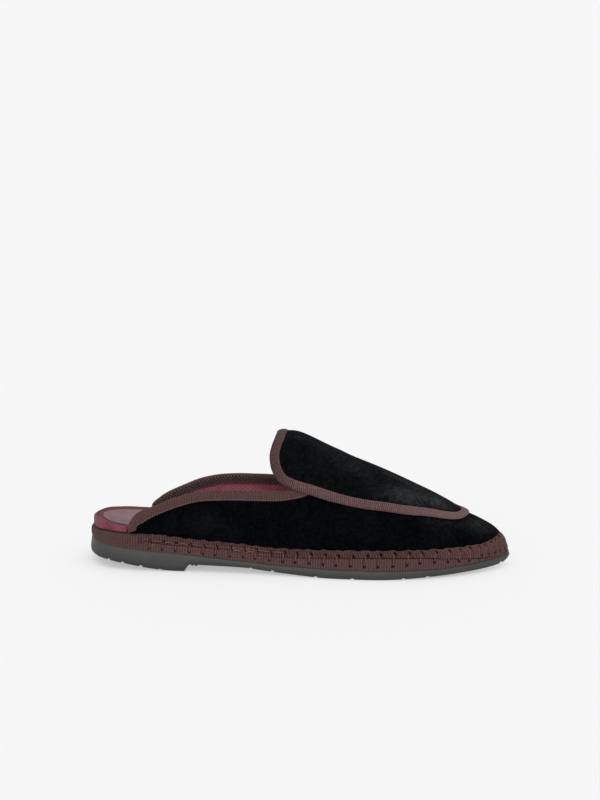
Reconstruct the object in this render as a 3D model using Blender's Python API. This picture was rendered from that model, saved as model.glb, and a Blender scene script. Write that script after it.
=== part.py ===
"""Backless slipper loafer (a velvet mule with a bound apron tab), right foot.

Units in the tables are millimetres; meshes are made in metres.
+X runs from heel to toe, -Y is the outer (lateral) side, +Z is up, and the
sole stands on z = 0 with the origin under the middle of the shoe.

Every curved piece is read from one last: a row of sections, each a half-round
arch over a base line.  A place on the last is a station (distance from the
back of the heel) and a share of the half-section (0 at the crest of the
instep, -1 at the outer base line, +1 at the inner base line), and a piece is
the stretch of it between two offsets along its normal.
"""
from collections import namedtuple

import bmesh
import bpy
import numpy as np
from mathutils import Vector
from mathutils.geometry import delaunay_2d_cdt

MM = 0.001

# Main sizes
LENGTH = 265.0
SIDE_SHIFT = 0.5
SEAT_GAP = 0.3
FOLD_GAP = 0.6
UPPER_WALL = 1.8
RIBBON = 0.8
RAND_WALL = 1.4
APRON_WALL = 1.8
APRON_RIBBON_WALL = 1.3
RIBBON_WIDTH = 5.6

# Sole sizes
QUARTER_START = 29.6
INNER_QUARTER_START = 39.4
QUARTER_CORNER = 6.5
RAND_START = QUARTER_START + QUARTER_CORNER - SEAT_GAP
LEDGE_STEP = 0.8
MIDSOLE_INSET = 0.8
MIDSOLE_FOOT = 0.8
MIDSOLE_ROUND = 0.5
MIDSOLE_LIP = 0.4
INSOLE_WALL = 3.2
INSOLE_ROUND = 1.0
INSOLE_SIDE_GAP = 1.7
INSOLE_TIP = 2.0
INSOLE_HEEL_INSET = 1.9
INSOLE_HEEL_END = 15.0
INSOLE_NARROWS = QUARTER_START - 6.5
INSOLE_NARROW = QUARTER_START - 2.6
HEEL_PAD_WALL = 0.8
HEEL_PAD_HALF = 21.5
HEEL_PAD_BACK = 9.0
HEEL_PAD_FRONT = 76.0
HEEL_PAD_SQUARE = 3.0
BREAST_FOOT = 60.5
BREAST_TOP = 64.5
GROOVE_WIDTH = 2.6
GROOVE_DEPTH = 1.3
GROOVE_WALL = 0.5
GROOVE_CLEAR = 1.2
GROOVES = (14.0, 22.0, 36.0, 101.0, 116.0, 142.0, 165.0, 197.0, 214.0, 256.0)

# Upper sizes
THROAT = 151.5
THROAT_BEND = 146.0
BINDING_END = 145.5
TAB_LIFT = 1.2
TAB_LIFT_FROM = 168.0
TAB_LIFT_FULL = 150.0
TAB_GRID = 6.0
LAST_END = 260.0
FOOT_LIFT = 0.8

# Rows and columns that a piece is divided into
TREAD_ROWS = 44
ROW_MIN = 0.3
HEEL_ROWS = 11
FRONT_ROWS = 31
PAD_ROWS = 21
CORNER_ROWS = 6
QUARTER_ROWS = 16
THROAT_ROWS = 5
VAMP_ROWS = 22
UPPER_COLUMNS = 10
RAND_ROWS = 18
RAND_COLUMNS = 6
COLLAR_PITCH = 3.6
APRON_PITCH = 4.0

OutlineRow = namedtuple("OutlineRow", "station lateral medial")
OUTLINE = (
    OutlineRow(0.0, 0.0, 0.0),
    OutlineRow(8.0, 20.5, 20.5),
    OutlineRow(22.0, 28.6, 28.4),
    OutlineRow(40.0, 30.5, 30.0),
    OutlineRow(70.0, 31.6, 28.6),
    OutlineRow(100.0, 33.6, 27.6),
    OutlineRow(130.0, 38.0, 31.2),
    OutlineRow(160.0, 43.0, 39.0),
    OutlineRow(181.0, 44.0, 43.0),
    OutlineRow(200.0, 41.6, 41.6),
    OutlineRow(220.0, 35.4, 35.8),
    OutlineRow(243.0, 23.8, 24.2),
    OutlineRow(257.0, 13.8, 14.0),
    OutlineRow(LENGTH, 0.0, 0.0),
)

GroundRow = namedtuple("GroundRow", "station height")
GROUND = (
    GroundRow(0.0, 4.2),
    GroundRow(15.0, 3.0),
    GroundRow(30.0, 1.4),
    GroundRow(45.0, 0.0),
    GroundRow(BREAST_FOOT, 0.0),
    GroundRow(BREAST_TOP, 4.3),
    GroundRow(73.5, 3.9),
    GroundRow(99.0, 3.2),
    GroundRow(120.0, 1.4),
    GroundRow(140.0, 0.25),
    GroundRow(152.0, 0.0),
    GroundRow(190.0, 0.0),
    GroundRow(212.0, 0.6),
    GroundRow(246.0, 2.0),
    GroundRow(258.0, 4.0),
    GroundRow(LENGTH, 5.4),
)

SoleRow = namedtuple("SoleRow", "station outsole seam band insole")
SOLE = (
    SoleRow(0.0, 16.4, 18.0, 21.4, 28.4),
    SoleRow(15.0, 14.8, 18.0, 22.8, 28.2),
    SoleRow(36.0, 12.6, 17.6, 22.4, 26.8),
    SoleRow(60.0, 11.0, 16.2, 21.0, 24.6),
    SoleRow(99.0, 7.9, 13.2, 18.3, 21.4),
    SoleRow(120.0, 6.6, 11.7, 16.6, 19.7),
    SoleRow(158.0, 6.0, 11.9, 17.3, 18.4),
    SoleRow(212.0, 5.6, 11.2, 18.7, 17.8),
    SoleRow(225.0, 5.6, 11.1, 19.2, 17.8),
    SoleRow(246.0, 6.6, 11.6, 18.3, 17.8),
    SoleRow(258.0, 7.6, 12.2, 17.2, 18.0),
    SoleRow(LENGTH, 8.6, 12.8, 17.0, 18.2),
)

SectionRow = namedtuple("SectionRow", "station lateral medial base crest ridge wall")
LAST = (
    SectionRow(0.0, 20.0, 20.0, 18.2, 60.0, 2.0, 1.5),
    SectionRow(20.0, 24.0, 23.8, 18.1, 68.0, 2.0, 1.5),
    SectionRow(40.0, 26.1, 25.6, 17.5, 74.0, 2.0, 1.5),
    SectionRow(70.0, 27.3, 24.3, 15.7, 80.0, 2.0, 1.5),
    SectionRow(100.0, 29.3, 23.3, 13.2, 82.0, 1.95, 1.5),
    SectionRow(121.0, 32.4, 25.4, 11.8, 80.4, 1.8, 1.55),
    SectionRow(127.0, 33.3, 26.4, 11.7, 79.9, 1.8, 1.55),
    SectionRow(155.0, 38.0, 33.7, 11.9, 68.2, 1.85, 1.55),
    SectionRow(181.0, 39.7, 38.7, 11.7, 57.4, 1.95, 1.6),
    SectionRow(210.0, 34.9, 35.0, 11.2, 44.0, 2.0, 1.7),
    SectionRow(230.0, 26.4, 26.7, 11.2, 34.1, 2.0, 1.8),
    SectionRow(238.0, 21.6, 21.8, 11.4, 31.0, 2.0, 1.9),
    SectionRow(247.0, 15.9, 16.0, 11.8, 27.0, 2.0, 2.0),
    SectionRow(254.0, 10.6, 10.7, 12.2, 23.0, 2.0, 2.0),
    SectionRow(LAST_END, 0.0, 0.0, 12.6, 12.6, 2.0, 2.0),
)

SideRow = namedtuple("SideRow", "inset share")
OUTSOLE_SIDE = (
    SideRow(1.9, 0.0),
    SideRow(0.5, 0.24),
    SideRow(0.0, 0.58),
    SideRow(0.35, 0.88),
    SideRow(1.1, 1.0),
)

CollarRow = namedtuple("CollarRow", "station height")
LATERAL_COLLAR = (
    CollarRow(QUARTER_START, 28.6),
    CollarRow(31.0, 32.6),
    CollarRow(34.4, 35.4),
    CollarRow(44.0, 39.4),
    CollarRow(60.0, 45.6),
    CollarRow(75.0, 49.1),
    CollarRow(91.0, 49.8),
    CollarRow(121.0, 50.2),
    CollarRow(131.0, 51.8),
    CollarRow(139.0, 55.2),
    CollarRow(THROAT_BEND, 60.6),
)
MEDIAL_COLLAR = (
    CollarRow(INNER_QUARTER_START, 28.4),
    CollarRow(40.8, 32.0),
    CollarRow(44.2, 34.8),
    CollarRow(56.0, 41.0),
    CollarRow(71.0, 47.4),
    CollarRow(85.0, 50.2),
    CollarRow(98.0, 50.2),
    CollarRow(121.0, 49.6),
    CollarRow(131.0, 51.4),
    CollarRow(139.0, 55.0),
    CollarRow(THROAT_BEND, 60.4),
)

# Edge of the apron's ribbon, over the last: station, and reach from the crest
ApronRow = namedtuple("ApronRow", "station reach")
APRON_EDGE = (
    ApronRow(120.0, 0.0),
    ApronRow(119.2, 5.5),
    ApronRow(117.2, 12.0),
    ApronRow(116.2, 19.0),
    ApronRow(118.4, 27.5),
    ApronRow(124.0, 33.6),
    ApronRow(132.0, 37.0),
    ApronRow(142.0, 38.2),
    ApronRow(159.0, 37.2),
    ApronRow(176.0, 34.8),
    ApronRow(201.0, 27.8),
    ApronRow(221.0, 19.2),
    ApronRow(231.0, 12.0),
    ApronRow(237.2, 0.0),
)

Finish = namedtuple("Finish", "red green blue roughness")
RUBBER = Finish(0.074, 0.071, 0.069, 0.62)
RIBBON_CLOTH = Finish(0.078, 0.045, 0.044, 0.85)
INSOLE_CLOTH = Finish(0.133, 0.040, 0.052, 0.88)
PAD_CLOTH = Finish(0.223, 0.147, 0.155, 0.80)
VELVET = Finish(0.006, 0.006, 0.007, 0.95)


def column(table, name):
    """One named column of a table as an array."""
    return np.array([getattr(row, name) for row in table], float)


def monotone(knots, values, at):
    """Smooth curve through the knots that never overshoots them."""
    at = np.clip(np.asarray(at, float), knots[0], knots[-1])
    step = np.diff(knots)
    slope = np.diff(values) / step
    tangent = np.zeros(len(knots))
    tangent[0] = slope[0]
    tangent[-1] = slope[-1]
    before = 2.0 * step[1:] + step[:-1]
    after = step[1:] + 2.0 * step[:-1]
    for i in range(1, len(step)):
        if slope[i - 1] * slope[i] > 0.0:
            mean = before[i - 1] / slope[i - 1] + after[i - 1] / slope[i]
            tangent[i] = (before[i - 1] + after[i - 1]) / mean
    cell = np.clip(np.searchsorted(knots, at, side="right") - 1, 0, len(step) - 1)
    t = (at - knots[cell]) / step[cell]
    rise = values[cell + 1] - values[cell]
    lead = step[cell] * tangent[cell]
    trail = step[cell] * tangent[cell + 1]
    square = 3.0 * rise - 2.0 * lead - trail
    cube = lead + trail - 2.0 * rise
    return values[cell] + t * (lead + t * (square + t * cube))


def read(table, name, at):
    """A column of a table at any station."""
    return monotone(column(table, "station"), column(table, name), at)


def read_round(table, name, at):
    """A half-width that falls to zero in a round end: its square is what runs smoothly."""
    squares = monotone(column(table, "station"), column(table, name) ** 2, at)
    return np.sqrt(np.maximum(squares, 0.0))


def spread(start, end, count, pull_start=0.0, pull_end=0.0):
    """Stations from start to end, drawn closer at the ends by the two pulls (0 to 1)."""
    share = np.linspace(0.0, 1.0, count)
    share = share + pull_start * (1.0 - np.cos(share * np.pi / 2.0) - share)
    share = share + pull_end * (np.sin(share * np.pi / 2.0) - share)
    return start + (end - start) * share


def ease(start, end, at):
    """Smooth step from 0 at start to 1 at end."""
    t = np.clip((np.asarray(at, float) - start) / (end - start), 0.0, 1.0)
    return t * t * (3.0 - 2.0 * t)


class Last:
    """The form the shoe is built on."""

    SAMPLES = 49
    REACH = 0.4
    SHARE_REACH = 0.2
    TIP = 0.05

    def __init__(self):
        self.station = column(LAST, "station")
        rise = column(LAST, "crest") - column(LAST, "base")
        self.rise_squared = rise ** 2
        self.angle = np.linspace(np.pi / 2.0, 0.0, self.SAMPLES)

    def half(self, station, side):
        """Half-section from crest to base: across, up, and length along it."""
        width = float(read_round(LAST, "lateral" if side < 0 else "medial", station))
        rise = float(np.sqrt(max(monotone(self.station, self.rise_squared, station), 0.0)))
        ridge = float(read(LAST, "ridge", station))
        wall = float(read(LAST, "wall", station))
        across = side * width * np.clip(np.cos(self.angle), 0.0, 1.0) ** (2.0 / ridge)
        up = float(read(LAST, "base", station)) + rise * np.sin(self.angle) ** (2.0 / wall)
        length = np.concatenate(([0.0], np.cumsum(np.hypot(np.diff(across), np.diff(up)))))
        return across, up, length

    def girth(self, station, side):
        """Length of the half-section from crest to base line."""
        return self.half(station, side)[2][-1]

    def point(self, station, share):
        """Point on the last at a share of the half-section."""
        if station >= LAST_END:
            return np.array((LAST_END, 0.0, LAST[-1].base))
        across, up, length = self.half(station, -1.0 if share < 0.0 else 1.0)
        along = min(abs(share), 1.0) * length[-1]
        return np.array((station, np.interp(along, length, across), np.interp(along, length, up)))

    def normal(self, station, share):
        """Outward direction of the last at a place."""
        if station >= LAST_END:
            return np.array((1.0, 0.0, 0.0))
        ahead = min(station + self.REACH, LAST_END - self.TIP)
        along = self.point(ahead, share) - self.point(station - self.REACH, share)
        girth = self.girth(min(station, LAST_END - self.TIP), -1.0 if share < 0.0 else 1.0)
        reach = min(self.REACH / girth, self.SHARE_REACH)
        low = self.point(station, max(share - reach, -1.0))
        high = self.point(station, min(share + reach, 1.0))
        out = np.cross(along, high - low)
        return out / np.linalg.norm(out)

    def offset(self, station, share, distance):
        """Point at a distance outside the last."""
        return self.point(station, share) + distance * self.normal(station, share)

    def share_at(self, station, side, height):
        """Share of the half-section at which it is at a height."""
        across, up, length = self.half(station, side)
        return side * np.interp(-height, -up, length) / length[-1]

    def width_at(self, station, side, height):
        """Half-width of the section at a height, zero above its crest."""
        across, up, length = self.half(station, side)
        if height >= up[0]:
            return 0.0
        return abs(np.interp(-height, -up, across))


last = Last()


def to_world(points):
    """Millimetres from the back of the heel to metres from the middle of the shoe's box."""
    moved = np.asarray(points, float).copy()
    moved[:, 0] -= LENGTH / 2.0
    moved[:, 1] += SIDE_SHIFT
    return moved * MM


def add_material(name, finish):
    """A plain surface colour for a piece."""
    material = bpy.data.materials.new(name)
    material.use_nodes = True
    shader = material.node_tree.nodes["Principled BSDF"]
    shader.inputs["Base Color"].default_value = (finish.red, finish.green, finish.blue, 1.0)
    shader.inputs["Roughness"].default_value = finish.roughness
    material.diffuse_color = (finish.red, finish.green, finish.blue, 1.0)
    return material


def add_piece(name, points, faces, finish):
    """One named object from points in millimetres and faces of their numbers."""
    mesh = bpy.data.meshes.new(name)
    bm = bmesh.new()
    verts = [bm.verts.new(Vector(p)) for p in to_world(points)]
    for face in faces:
        bm.faces.new([verts[i] for i in face])
    bmesh.ops.recalc_face_normals(bm, faces=bm.faces)
    bmesh.ops.triangulate(bm, faces=bm.faces)
    bm.to_mesh(mesh)
    bm.free()
    mesh.shade_smooth()
    mesh.set_sharp_from_angle(angle=0.6)
    mesh.materials.append(add_material(name + "_finish", finish))
    piece = bpy.data.objects.new(name, mesh)
    bpy.context.scene.collection.objects.link(piece)
    return piece


def add_shell(name, outer, inner, faces, finish):
    """A wall between two surfaces that share their faces, closed along every open edge."""
    count = len(outer)
    sides = {}
    for face in faces:
        for a, b in zip(face, face[1:] + face[:1]):
            key = (min(a, b), max(a, b))
            sides.setdefault(key, []).append((a, b))
    whole = list(faces)
    whole += [tuple(i + count for i in reversed(face)) for face in faces]
    open_sides = [uses[0] for uses in sides.values() if len(uses) == 1]
    whole += [(b, a, a + count, b + count) for a, b in open_sides]
    return add_piece(name, np.vstack((outer, inner)), whole, finish)


def add_stack(name, rings, finish):
    """A solid from loops stacked upwards, closed by strips from side to side."""
    size = len(rings[0])
    faces = []
    for level in range(len(rings) - 1):
        low = level * size
        for i in range(size):
            j = (i + 1) % size
            faces.append((low + i, low + j, low + size + j, low + size + i))
    for base in (0, (len(rings) - 1) * size):
        for i in range(size // 2):
            mirror_i = (size - i) % size
            strip = (i, i + 1, size - i - 1, mirror_i)
            faces.append(tuple(base + k for k in dict.fromkeys(strip)))
    return add_piece(name, np.vstack(rings), faces, finish)


def add_sweep(name, rows, finish, closed):
    """A solid from a row of like sections along a path."""
    size = len(rows[0])
    count = len(rows)
    faces = []
    for r in range(count if closed else count - 1):
        here = r * size
        there = (r + 1) % count * size
        for i in range(size):
            j = (i + 1) % size
            faces.append((here + i, here + j, there + j, there + i))
    if not closed:
        faces.append(tuple(range(size)))
        faces.append(tuple(range((count - 1) * size, count * size)))
    return add_piece(name, np.vstack(rows), faces, finish)


def ground(station):
    """Height of the tread: heel, breast, arch and toe spring, without its grooves."""
    return read(GROUND, "height", station)


def tread(station):
    """Height of the tread with its cross grooves."""
    depth = 0.0
    for middle in GROOVES:
        edge = GROOVE_WIDTH / 2.0 - abs(station - middle)
        depth = max(depth, GROOVE_DEPTH * float(np.clip(edge / GROOVE_WALL + 0.5, 0.0, 1.0)))
    return float(ground(station)) + depth


def tread_stations():
    """Stations along the sole, with a row at each edge of a groove and of the breast."""
    rows = list(spread(0.0, LENGTH, TREAD_ROWS, 0.9, 0.9)) + [BREAST_FOOT, BREAST_TOP]
    half = GROOVE_WIDTH / 2.0
    for middle in GROOVES:
        rows = [s for s in rows if abs(s - middle) > half + GROOVE_CLEAR]
        for edge in (half + GROOVE_WALL / 2.0, half - GROOVE_WALL / 2.0):
            rows += [middle - edge, middle + edge]
    rows = sorted(rows)
    kept = [rows[0]]
    for station in rows[1:]:
        if station - kept[-1] > ROW_MIN:
            kept.append(station)
    return kept


def sole_rows(start, end):
    """Stations of midsole and insole, with a row at each side of the step where the rand starts."""
    heel = spread(start, RAND_START - LEDGE_STEP, HEEL_ROWS, 1.0)
    front = spread(RAND_START, end, FRONT_ROWS, 0.0, 1.0)
    return np.concatenate((heel, front))


def sole_loop(stations, inset, height):
    """Loop round the sole's outline, drawn in by an inset, at a height for each station."""
    stations = np.asarray(stations, float)
    sides = []
    for name, side in (("lateral", -1.0), ("medial", 1.0)):
        fine = spread(0.0, LENGTH, 1201, 1.0, 1.0)
        edge = np.column_stack((fine, side * read_round(OUTLINE, name, fine)))
        run = np.gradient(edge, axis=0)
        run[0] = (0.0, side)
        run[-1] = (0.0, -side)
        inward = np.column_stack((side * run[:, 1], -side * run[:, 0]))
        inward /= np.linalg.norm(inward, axis=1)[:, None]
        drawn = edge + inward * inset
        place = np.searchsorted(fine, stations).clip(0, len(fine) - 1)
        loop = drawn[place]
        loop[0, 1] = 0.0
        loop[-1, 1] = 0.0
        sides.append(np.column_stack((loop, [height(s) for s in stations])))
    lateral, medial = sides
    return np.vstack((lateral, medial[-2:0:-1]))


def insole_width(station, side):
    """Half-width of the insole: flush at the bare heel, inside the upper ahead of it."""
    name = "lateral" if side < 0 else "medial"
    edge = float(read_round(OUTLINE, name, max(station - INSOLE_HEEL_INSET, 0.0)))
    heel = max(edge - INSOLE_HEEL_INSET, 0.0)
    if station < INSOLE_HEEL_END:
        return heel
    top = float(read(SOLE, "insole", station)) + SEAT_GAP
    inside = max(last.width_at(station, side, top) - INSOLE_SIDE_GAP, 0.0)
    return heel + (min(inside, heel) - heel) * float(ease(INSOLE_NARROWS, INSOLE_NARROW, station))


def insole_loop(stations, height):
    """Loop round the insole."""
    lateral = [(s, -insole_width(s, -1.0), height(s)) for s in stations]
    medial = [(s, insole_width(s, 1.0), height(s)) for s in stations]
    lateral[0] = (stations[0], 0.0, height(stations[0]))
    lateral[-1] = (stations[-1], 0.0, height(stations[-1]))
    return np.array(lateral + medial[-2:0:-1])


def insole_end():
    """Station at which the last closes down over the insole's toe."""
    stations = np.arange(LAST[-4].station, LAST_END, 0.1)
    return next(s for s in stations if insole_width(s, 1.0) < INSOLE_TIP)


def build_outsole():
    """Rubber sole with its moulded heel, breast, arch, toe spring and cross lugs."""
    stations = tread_stations()

    def top(s):
        return float(read(SOLE, "outsole", s))

    def side(share):
        return lambda s: tread(s) + (top(s) - tread(s)) * share

    rings = [sole_loop(stations, row.inset, side(row.share)) for row in OUTSOLE_SIDE]
    return add_stack("outsole", rings, RUBBER)


def seam_height(station):
    """Top of the midsole's outer wall: the ledge under the rand, and the lip of the bare heel."""
    band = float(read(SOLE, "band", station))
    seam = float(read(SOLE, "seam", station))
    return band + (seam - band) * float(ease(RAND_START - LEDGE_STEP, RAND_START, station))


def core_height(station):
    """Top of the midsole's core: level with the lip at the bare heel, under the insole ahead of it."""
    band = float(read(SOLE, "band", station))
    under = float(read(SOLE, "insole", station)) - INSOLE_WALL - SEAT_GAP
    return min(under, band + SEAT_GAP)


def build_midsole(insole_rows):
    """Ribbon-wrapped band: a wall to the seam, a ledge for rand and upper, and a core under the insole."""
    stations = sole_rows(0.0, LENGTH)

    def bottom(s):
        return float(read(SOLE, "outsole", s)) + SEAT_GAP

    def ledge(s):
        return seam_height(s) - SEAT_GAP

    rings = [
        sole_loop(stations, MIDSOLE_INSET + MIDSOLE_ROUND, bottom),
        sole_loop(stations, MIDSOLE_INSET, lambda s: bottom(s) + MIDSOLE_FOOT),
        sole_loop(stations, MIDSOLE_INSET, lambda s: ledge(s) - MIDSOLE_LIP),
        sole_loop(stations, MIDSOLE_INSET + MIDSOLE_LIP, ledge),
        insole_loop(insole_rows, lambda s: min(ledge(s), core_height(s) - MIDSOLE_LIP)),
        insole_loop(insole_rows, core_height),
    ]
    return add_stack("midsole", rings, RIBBON_CLOTH)


def build_insole(insole_rows):
    """Cloth-covered insole whose edge shows at the open heel."""

    def top(s):
        return float(read(SOLE, "insole", s))

    def drawn(loop, inset):
        middle = loop[:, :2].mean(axis=0)
        size = np.ptp(loop[:, :2], axis=0)
        moved = loop.copy()
        moved[:, :2] -= (loop[:, :2] - middle) * 2.0 * inset / size
        return moved

    rings = [
        insole_loop(insole_rows, lambda s: core_height(s) + SEAT_GAP),
        insole_loop(insole_rows, lambda s: top(s) - INSOLE_ROUND),
        drawn(insole_loop(insole_rows, top), INSOLE_ROUND),
    ]
    return add_stack("insole", rings, INSOLE_CLOTH)


def build_heel_pad():
    """Thin pad in the heel seat."""
    stations = spread(HEEL_PAD_BACK, HEEL_PAD_FRONT, PAD_ROWS, 0.9, 0.9)
    middle = (HEEL_PAD_BACK + HEEL_PAD_FRONT) / 2.0
    reach = (HEEL_PAD_FRONT - HEEL_PAD_BACK) / 2.0

    def width(s, side):
        end = abs(s - middle) / reach
        return side * HEEL_PAD_HALF * max(1.0 - end ** HEEL_PAD_SQUARE, 0.0) ** 0.5

    def loop(height):
        lateral = [(s, width(s, -1.0), height(s)) for s in stations]
        medial = [(s, width(s, 1.0), height(s)) for s in stations]
        return np.array(lateral + medial[-2:0:-1])

    def seat(s):
        return float(read(SOLE, "insole", s)) + SEAT_GAP

    rings = [loop(seat), loop(lambda s: seat(s) + HEEL_PAD_WALL)]
    return add_stack("heel_pad", rings, PAD_CLOTH)


def collar_share(station, side):
    """Share of the half-section at the mouth: the collar, then the throat, then the closed vamp."""
    table = LATERAL_COLLAR if side < 0 else MEDIAL_COLLAR
    if station >= THROAT:
        return 0.0
    if station > THROAT_BEND:
        bend = abs(last.share_at(THROAT_BEND, side, table[-1].height))
        return bend * ((THROAT - station) / (THROAT - THROAT_BEND)) ** 0.5
    return abs(last.share_at(station, side, float(read(table, "height", station))))


def lower_share(station, side):
    """Share at the upper's lower edge: on the midsole's lip behind the rand's start, else on the ledge."""
    height = seam_height(station - SEAT_GAP - LEDGE_STEP) + SEAT_GAP
    return abs(last.share_at(station, side, height))


def half_wall(stations, side, top, low, columns):
    """Places over one side of the last, from its top edge down to its lower edge."""
    rows = []
    for station in stations:
        upper_edge = top(station, side)
        lower_edge = low(station, side)
        rows.append([(station, side * (upper_edge + (lower_edge - upper_edge) * t))
                     for t in np.linspace(0.0, 1.0, columns)])
    return rows


def build_wall(name, rows_by_side, inner, outer, finish):
    """A wall over both sides of the last, joined at the toe and where both top edges reach the crest."""
    places = []
    number = {}
    for side, rows in enumerate(rows_by_side):
        for i, row in enumerate(rows):
            for j, place in enumerate(row):
                on_crest = side == 1 and j == 0 and place[1] == 0.0
                at_toe = i == len(rows) - 1 and (side, j) != (0, 0)
                if on_crest or at_toe:
                    number[side, i, j] = number[0, i, 0]
                else:
                    number[side, i, j] = len(places)
                    places.append(place)
    faces = []
    for side, rows in enumerate(rows_by_side):
        for i in range(len(rows) - 1):
            for j in range(len(rows[0]) - 1):
                corners = ((i, j), (i + 1, j), (i + 1, j + 1), (i, j + 1))
                quad = list(dict.fromkeys(number[side, k, m] for k, m in corners))
                faces.append(tuple(quad if side == 1 else reversed(quad)))
    outside = np.array([last.offset(s, f, outer) for s, f in places])
    inside = np.array([last.offset(s, f, inner) for s, f in places])
    return add_shell(name, outside, inside, faces, finish)


def vamp_rows():
    """Stations from the throat to the toe, shared by upper and rand."""
    return list(spread(THROAT, LAST_END, VAMP_ROWS, 0.0, 0.95))


def build_upper():
    """Velvet vamp and quarters, one wall open at the mouth and underneath."""
    sides = []
    for side, start in ((-1.0, QUARTER_START), (1.0, INNER_QUARTER_START)):
        corner = start + QUARTER_CORNER
        rows = list(spread(start, corner, CORNER_ROWS, 0.5))
        rows += list(spread(corner + LEDGE_STEP, THROAT_BEND, QUARTER_ROWS, 0.5, 0.3))
        rows += list(spread(THROAT_BEND, THROAT, THROAT_ROWS, 0.0, 1.0))[1:-1]
        rows += vamp_rows()
        sides.append(half_wall(rows, side, collar_share, lower_share, UPPER_COLUMNS))
    return build_wall("upper", sides, 0.0, UPPER_WALL, VELVET)


def rand_share(station, side):
    """Share at the rand's top edge."""
    return abs(last.share_at(station, side, float(read(SOLE, "band", station))))


def rand_turn():
    """Station at which the rand's top edge crosses the crest at the toe."""
    stations = np.arange(LAST[-4].station, LAST_END, 0.1)
    return next(s for s in stations if last.point(s, 0.0)[2] <= read(SOLE, "band", s))


def build_rand():
    """Stitched ribbon strip round the foot of the upper, from the quarters round the toe."""
    turn = rand_turn()
    stations = list(spread(RAND_START + SEAT_GAP, THROAT, RAND_ROWS))[:-1]
    stations += sorted([s for s in vamp_rows() if abs(s - turn) > ROW_MIN] + [turn])

    def top(station, side):
        return rand_share(station, side) if station < turn else 0.0

    def low(station, side):
        return abs(last.share_at(station, side, seam_height(station) + SEAT_GAP / 2.0))

    sides = [half_wall(stations, side, top, low, RAND_COLUMNS) for side in (-1.0, 1.0)]
    inner = UPPER_WALL + SEAT_GAP
    return build_wall("rand", sides, inner, inner + RAND_WALL, RIBBON_CLOTH)


def resample(path, spacing, closed=False):
    """Points along a path at an even spacing."""
    path = np.asarray(path, float)
    if closed:
        path = np.vstack((path, path[:1]))
    length = np.concatenate(([0.0], np.cumsum(np.linalg.norm(np.diff(path, axis=0), axis=1))))
    count = max(int(round(length[-1] / spacing)), 3)
    at = np.linspace(0.0, length[-1], count, endpoint=not closed)
    return np.column_stack([np.interp(at, length, path[:, k]) for k in range(path.shape[1])])


def leftward(path, closed=False):
    """Unit direction to the left of a path in the plane of station and reach."""
    if closed:
        run = np.roll(path, -1, axis=0) - np.roll(path, 1, axis=0)
    else:
        run = np.gradient(path, axis=0)
    left = np.column_stack((-run[:, 1], run[:, 0]))
    return left / np.linalg.norm(left, axis=1)[:, None]


def on_last(station, reach, distance):
    """Point at a distance outside the last, from a station and a reach in millimetres from the crest."""
    side = -1.0 if reach < 0.0 else 1.0
    return last.offset(station, reach / last.girth(station, side), distance)


def mouth_path(side):
    """Edge of the quarter: up its back end, then along the collar, as station and reach."""
    table = LATERAL_COLLAR if side < 0 else MEDIAL_COLLAR
    start = table[0].station
    path = []
    foot = float(read(SOLE, "band", start)) + FOOT_LIFT
    for height in np.linspace(foot, table[0].height, 5, endpoint=False):
        path.append((start, last.share_at(start, side, height) * last.girth(start, side)))
    for station in spread(start, BINDING_END, 90, 0.9):
        path.append((station, side * collar_share(station, side) * last.girth(station, side)))
    return resample(path, COLLAR_PITCH)


def build_collar_binding(name, side):
    """Ribbon folded over the edge of a quarter."""
    path = mouth_path(side)
    smooth_run = np.copy(path)
    for _ in range(2):
        smooth_run[1:-1] = (smooth_run[:-2] + 2.0 * smooth_run[1:-1] + smooth_run[2:]) / 4.0
    into = leftward(smooth_run) * side
    out = UPPER_WALL + SEAT_GAP
    deep = -SEAT_GAP
    fold = (
        (RIBBON_WIDTH, out),
        (RIBBON_WIDTH, out + RIBBON),
        (0.0, out + RIBBON),
        (-FOLD_GAP - RIBBON, out),
        (-FOLD_GAP - RIBBON, deep),
        (0.0, deep - RIBBON),
        (RIBBON_WIDTH, deep - RIBBON),
        (RIBBON_WIDTH, deep),
        (-FOLD_GAP, deep),
        (-FOLD_GAP, out),
    )
    rows = []
    for place, inward in zip(path, into):
        places = [(place + inward * depth, distance) for depth, distance in fold]
        rows.append(np.array([on_last(*at, distance) for at, distance in places]))
    return add_sweep(name, rows, RIBBON_CLOTH, closed=False)


def apron_edge():
    """Closed edge of the apron's ribbon as station and reach, through its table on both sides."""
    half = np.array(APRON_EDGE)
    whole = np.vstack((half * (1.0, -1.0), half[-2:0:-1]))
    count = len(whole)
    path = []
    for i in range(count):
        a, b, c, d = (whole[(i + k) % count] for k in (-1, 0, 1, 2))
        for t in np.linspace(0.0, 1.0, 12, endpoint=False):
            square = 2.0 * a - 5.0 * b + 4.0 * c - d
            cube = 3.0 * b - a - 3.0 * c + d
            path.append(0.5 * (2.0 * b + (c - a) * t + square * t ** 2 + cube * t ** 3))
    return resample(path, APRON_PITCH, closed=True)


def apron_seat(station):
    """Offset of the apron's underside: on the vamp in front, over the collar bindings behind."""
    lift = TAB_LIFT * (1.0 - float(ease(TAB_LIFT_FULL, TAB_LIFT_FROM, station)))
    return UPPER_WALL + SEAT_GAP + lift


def build_apron_binding():
    """Ribbon round the edge of the apron."""
    path = apron_edge()
    inward = leftward(path, closed=True)
    fold = ((0.0, 0.0), (0.0, 1.0), (RIBBON_WIDTH, 1.0), (RIBBON_WIDTH, 0.0))
    rows = []
    for place, into in zip(path, inward):
        row = []
        for depth, level in fold:
            station, reach = place + into * depth
            row.append(on_last(station, reach, apron_seat(station) + level * APRON_RIBBON_WALL))
        rows.append(np.array(row))
    return add_sweep("apron_binding", rows, RIBBON_CLOTH, closed=True)


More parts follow.
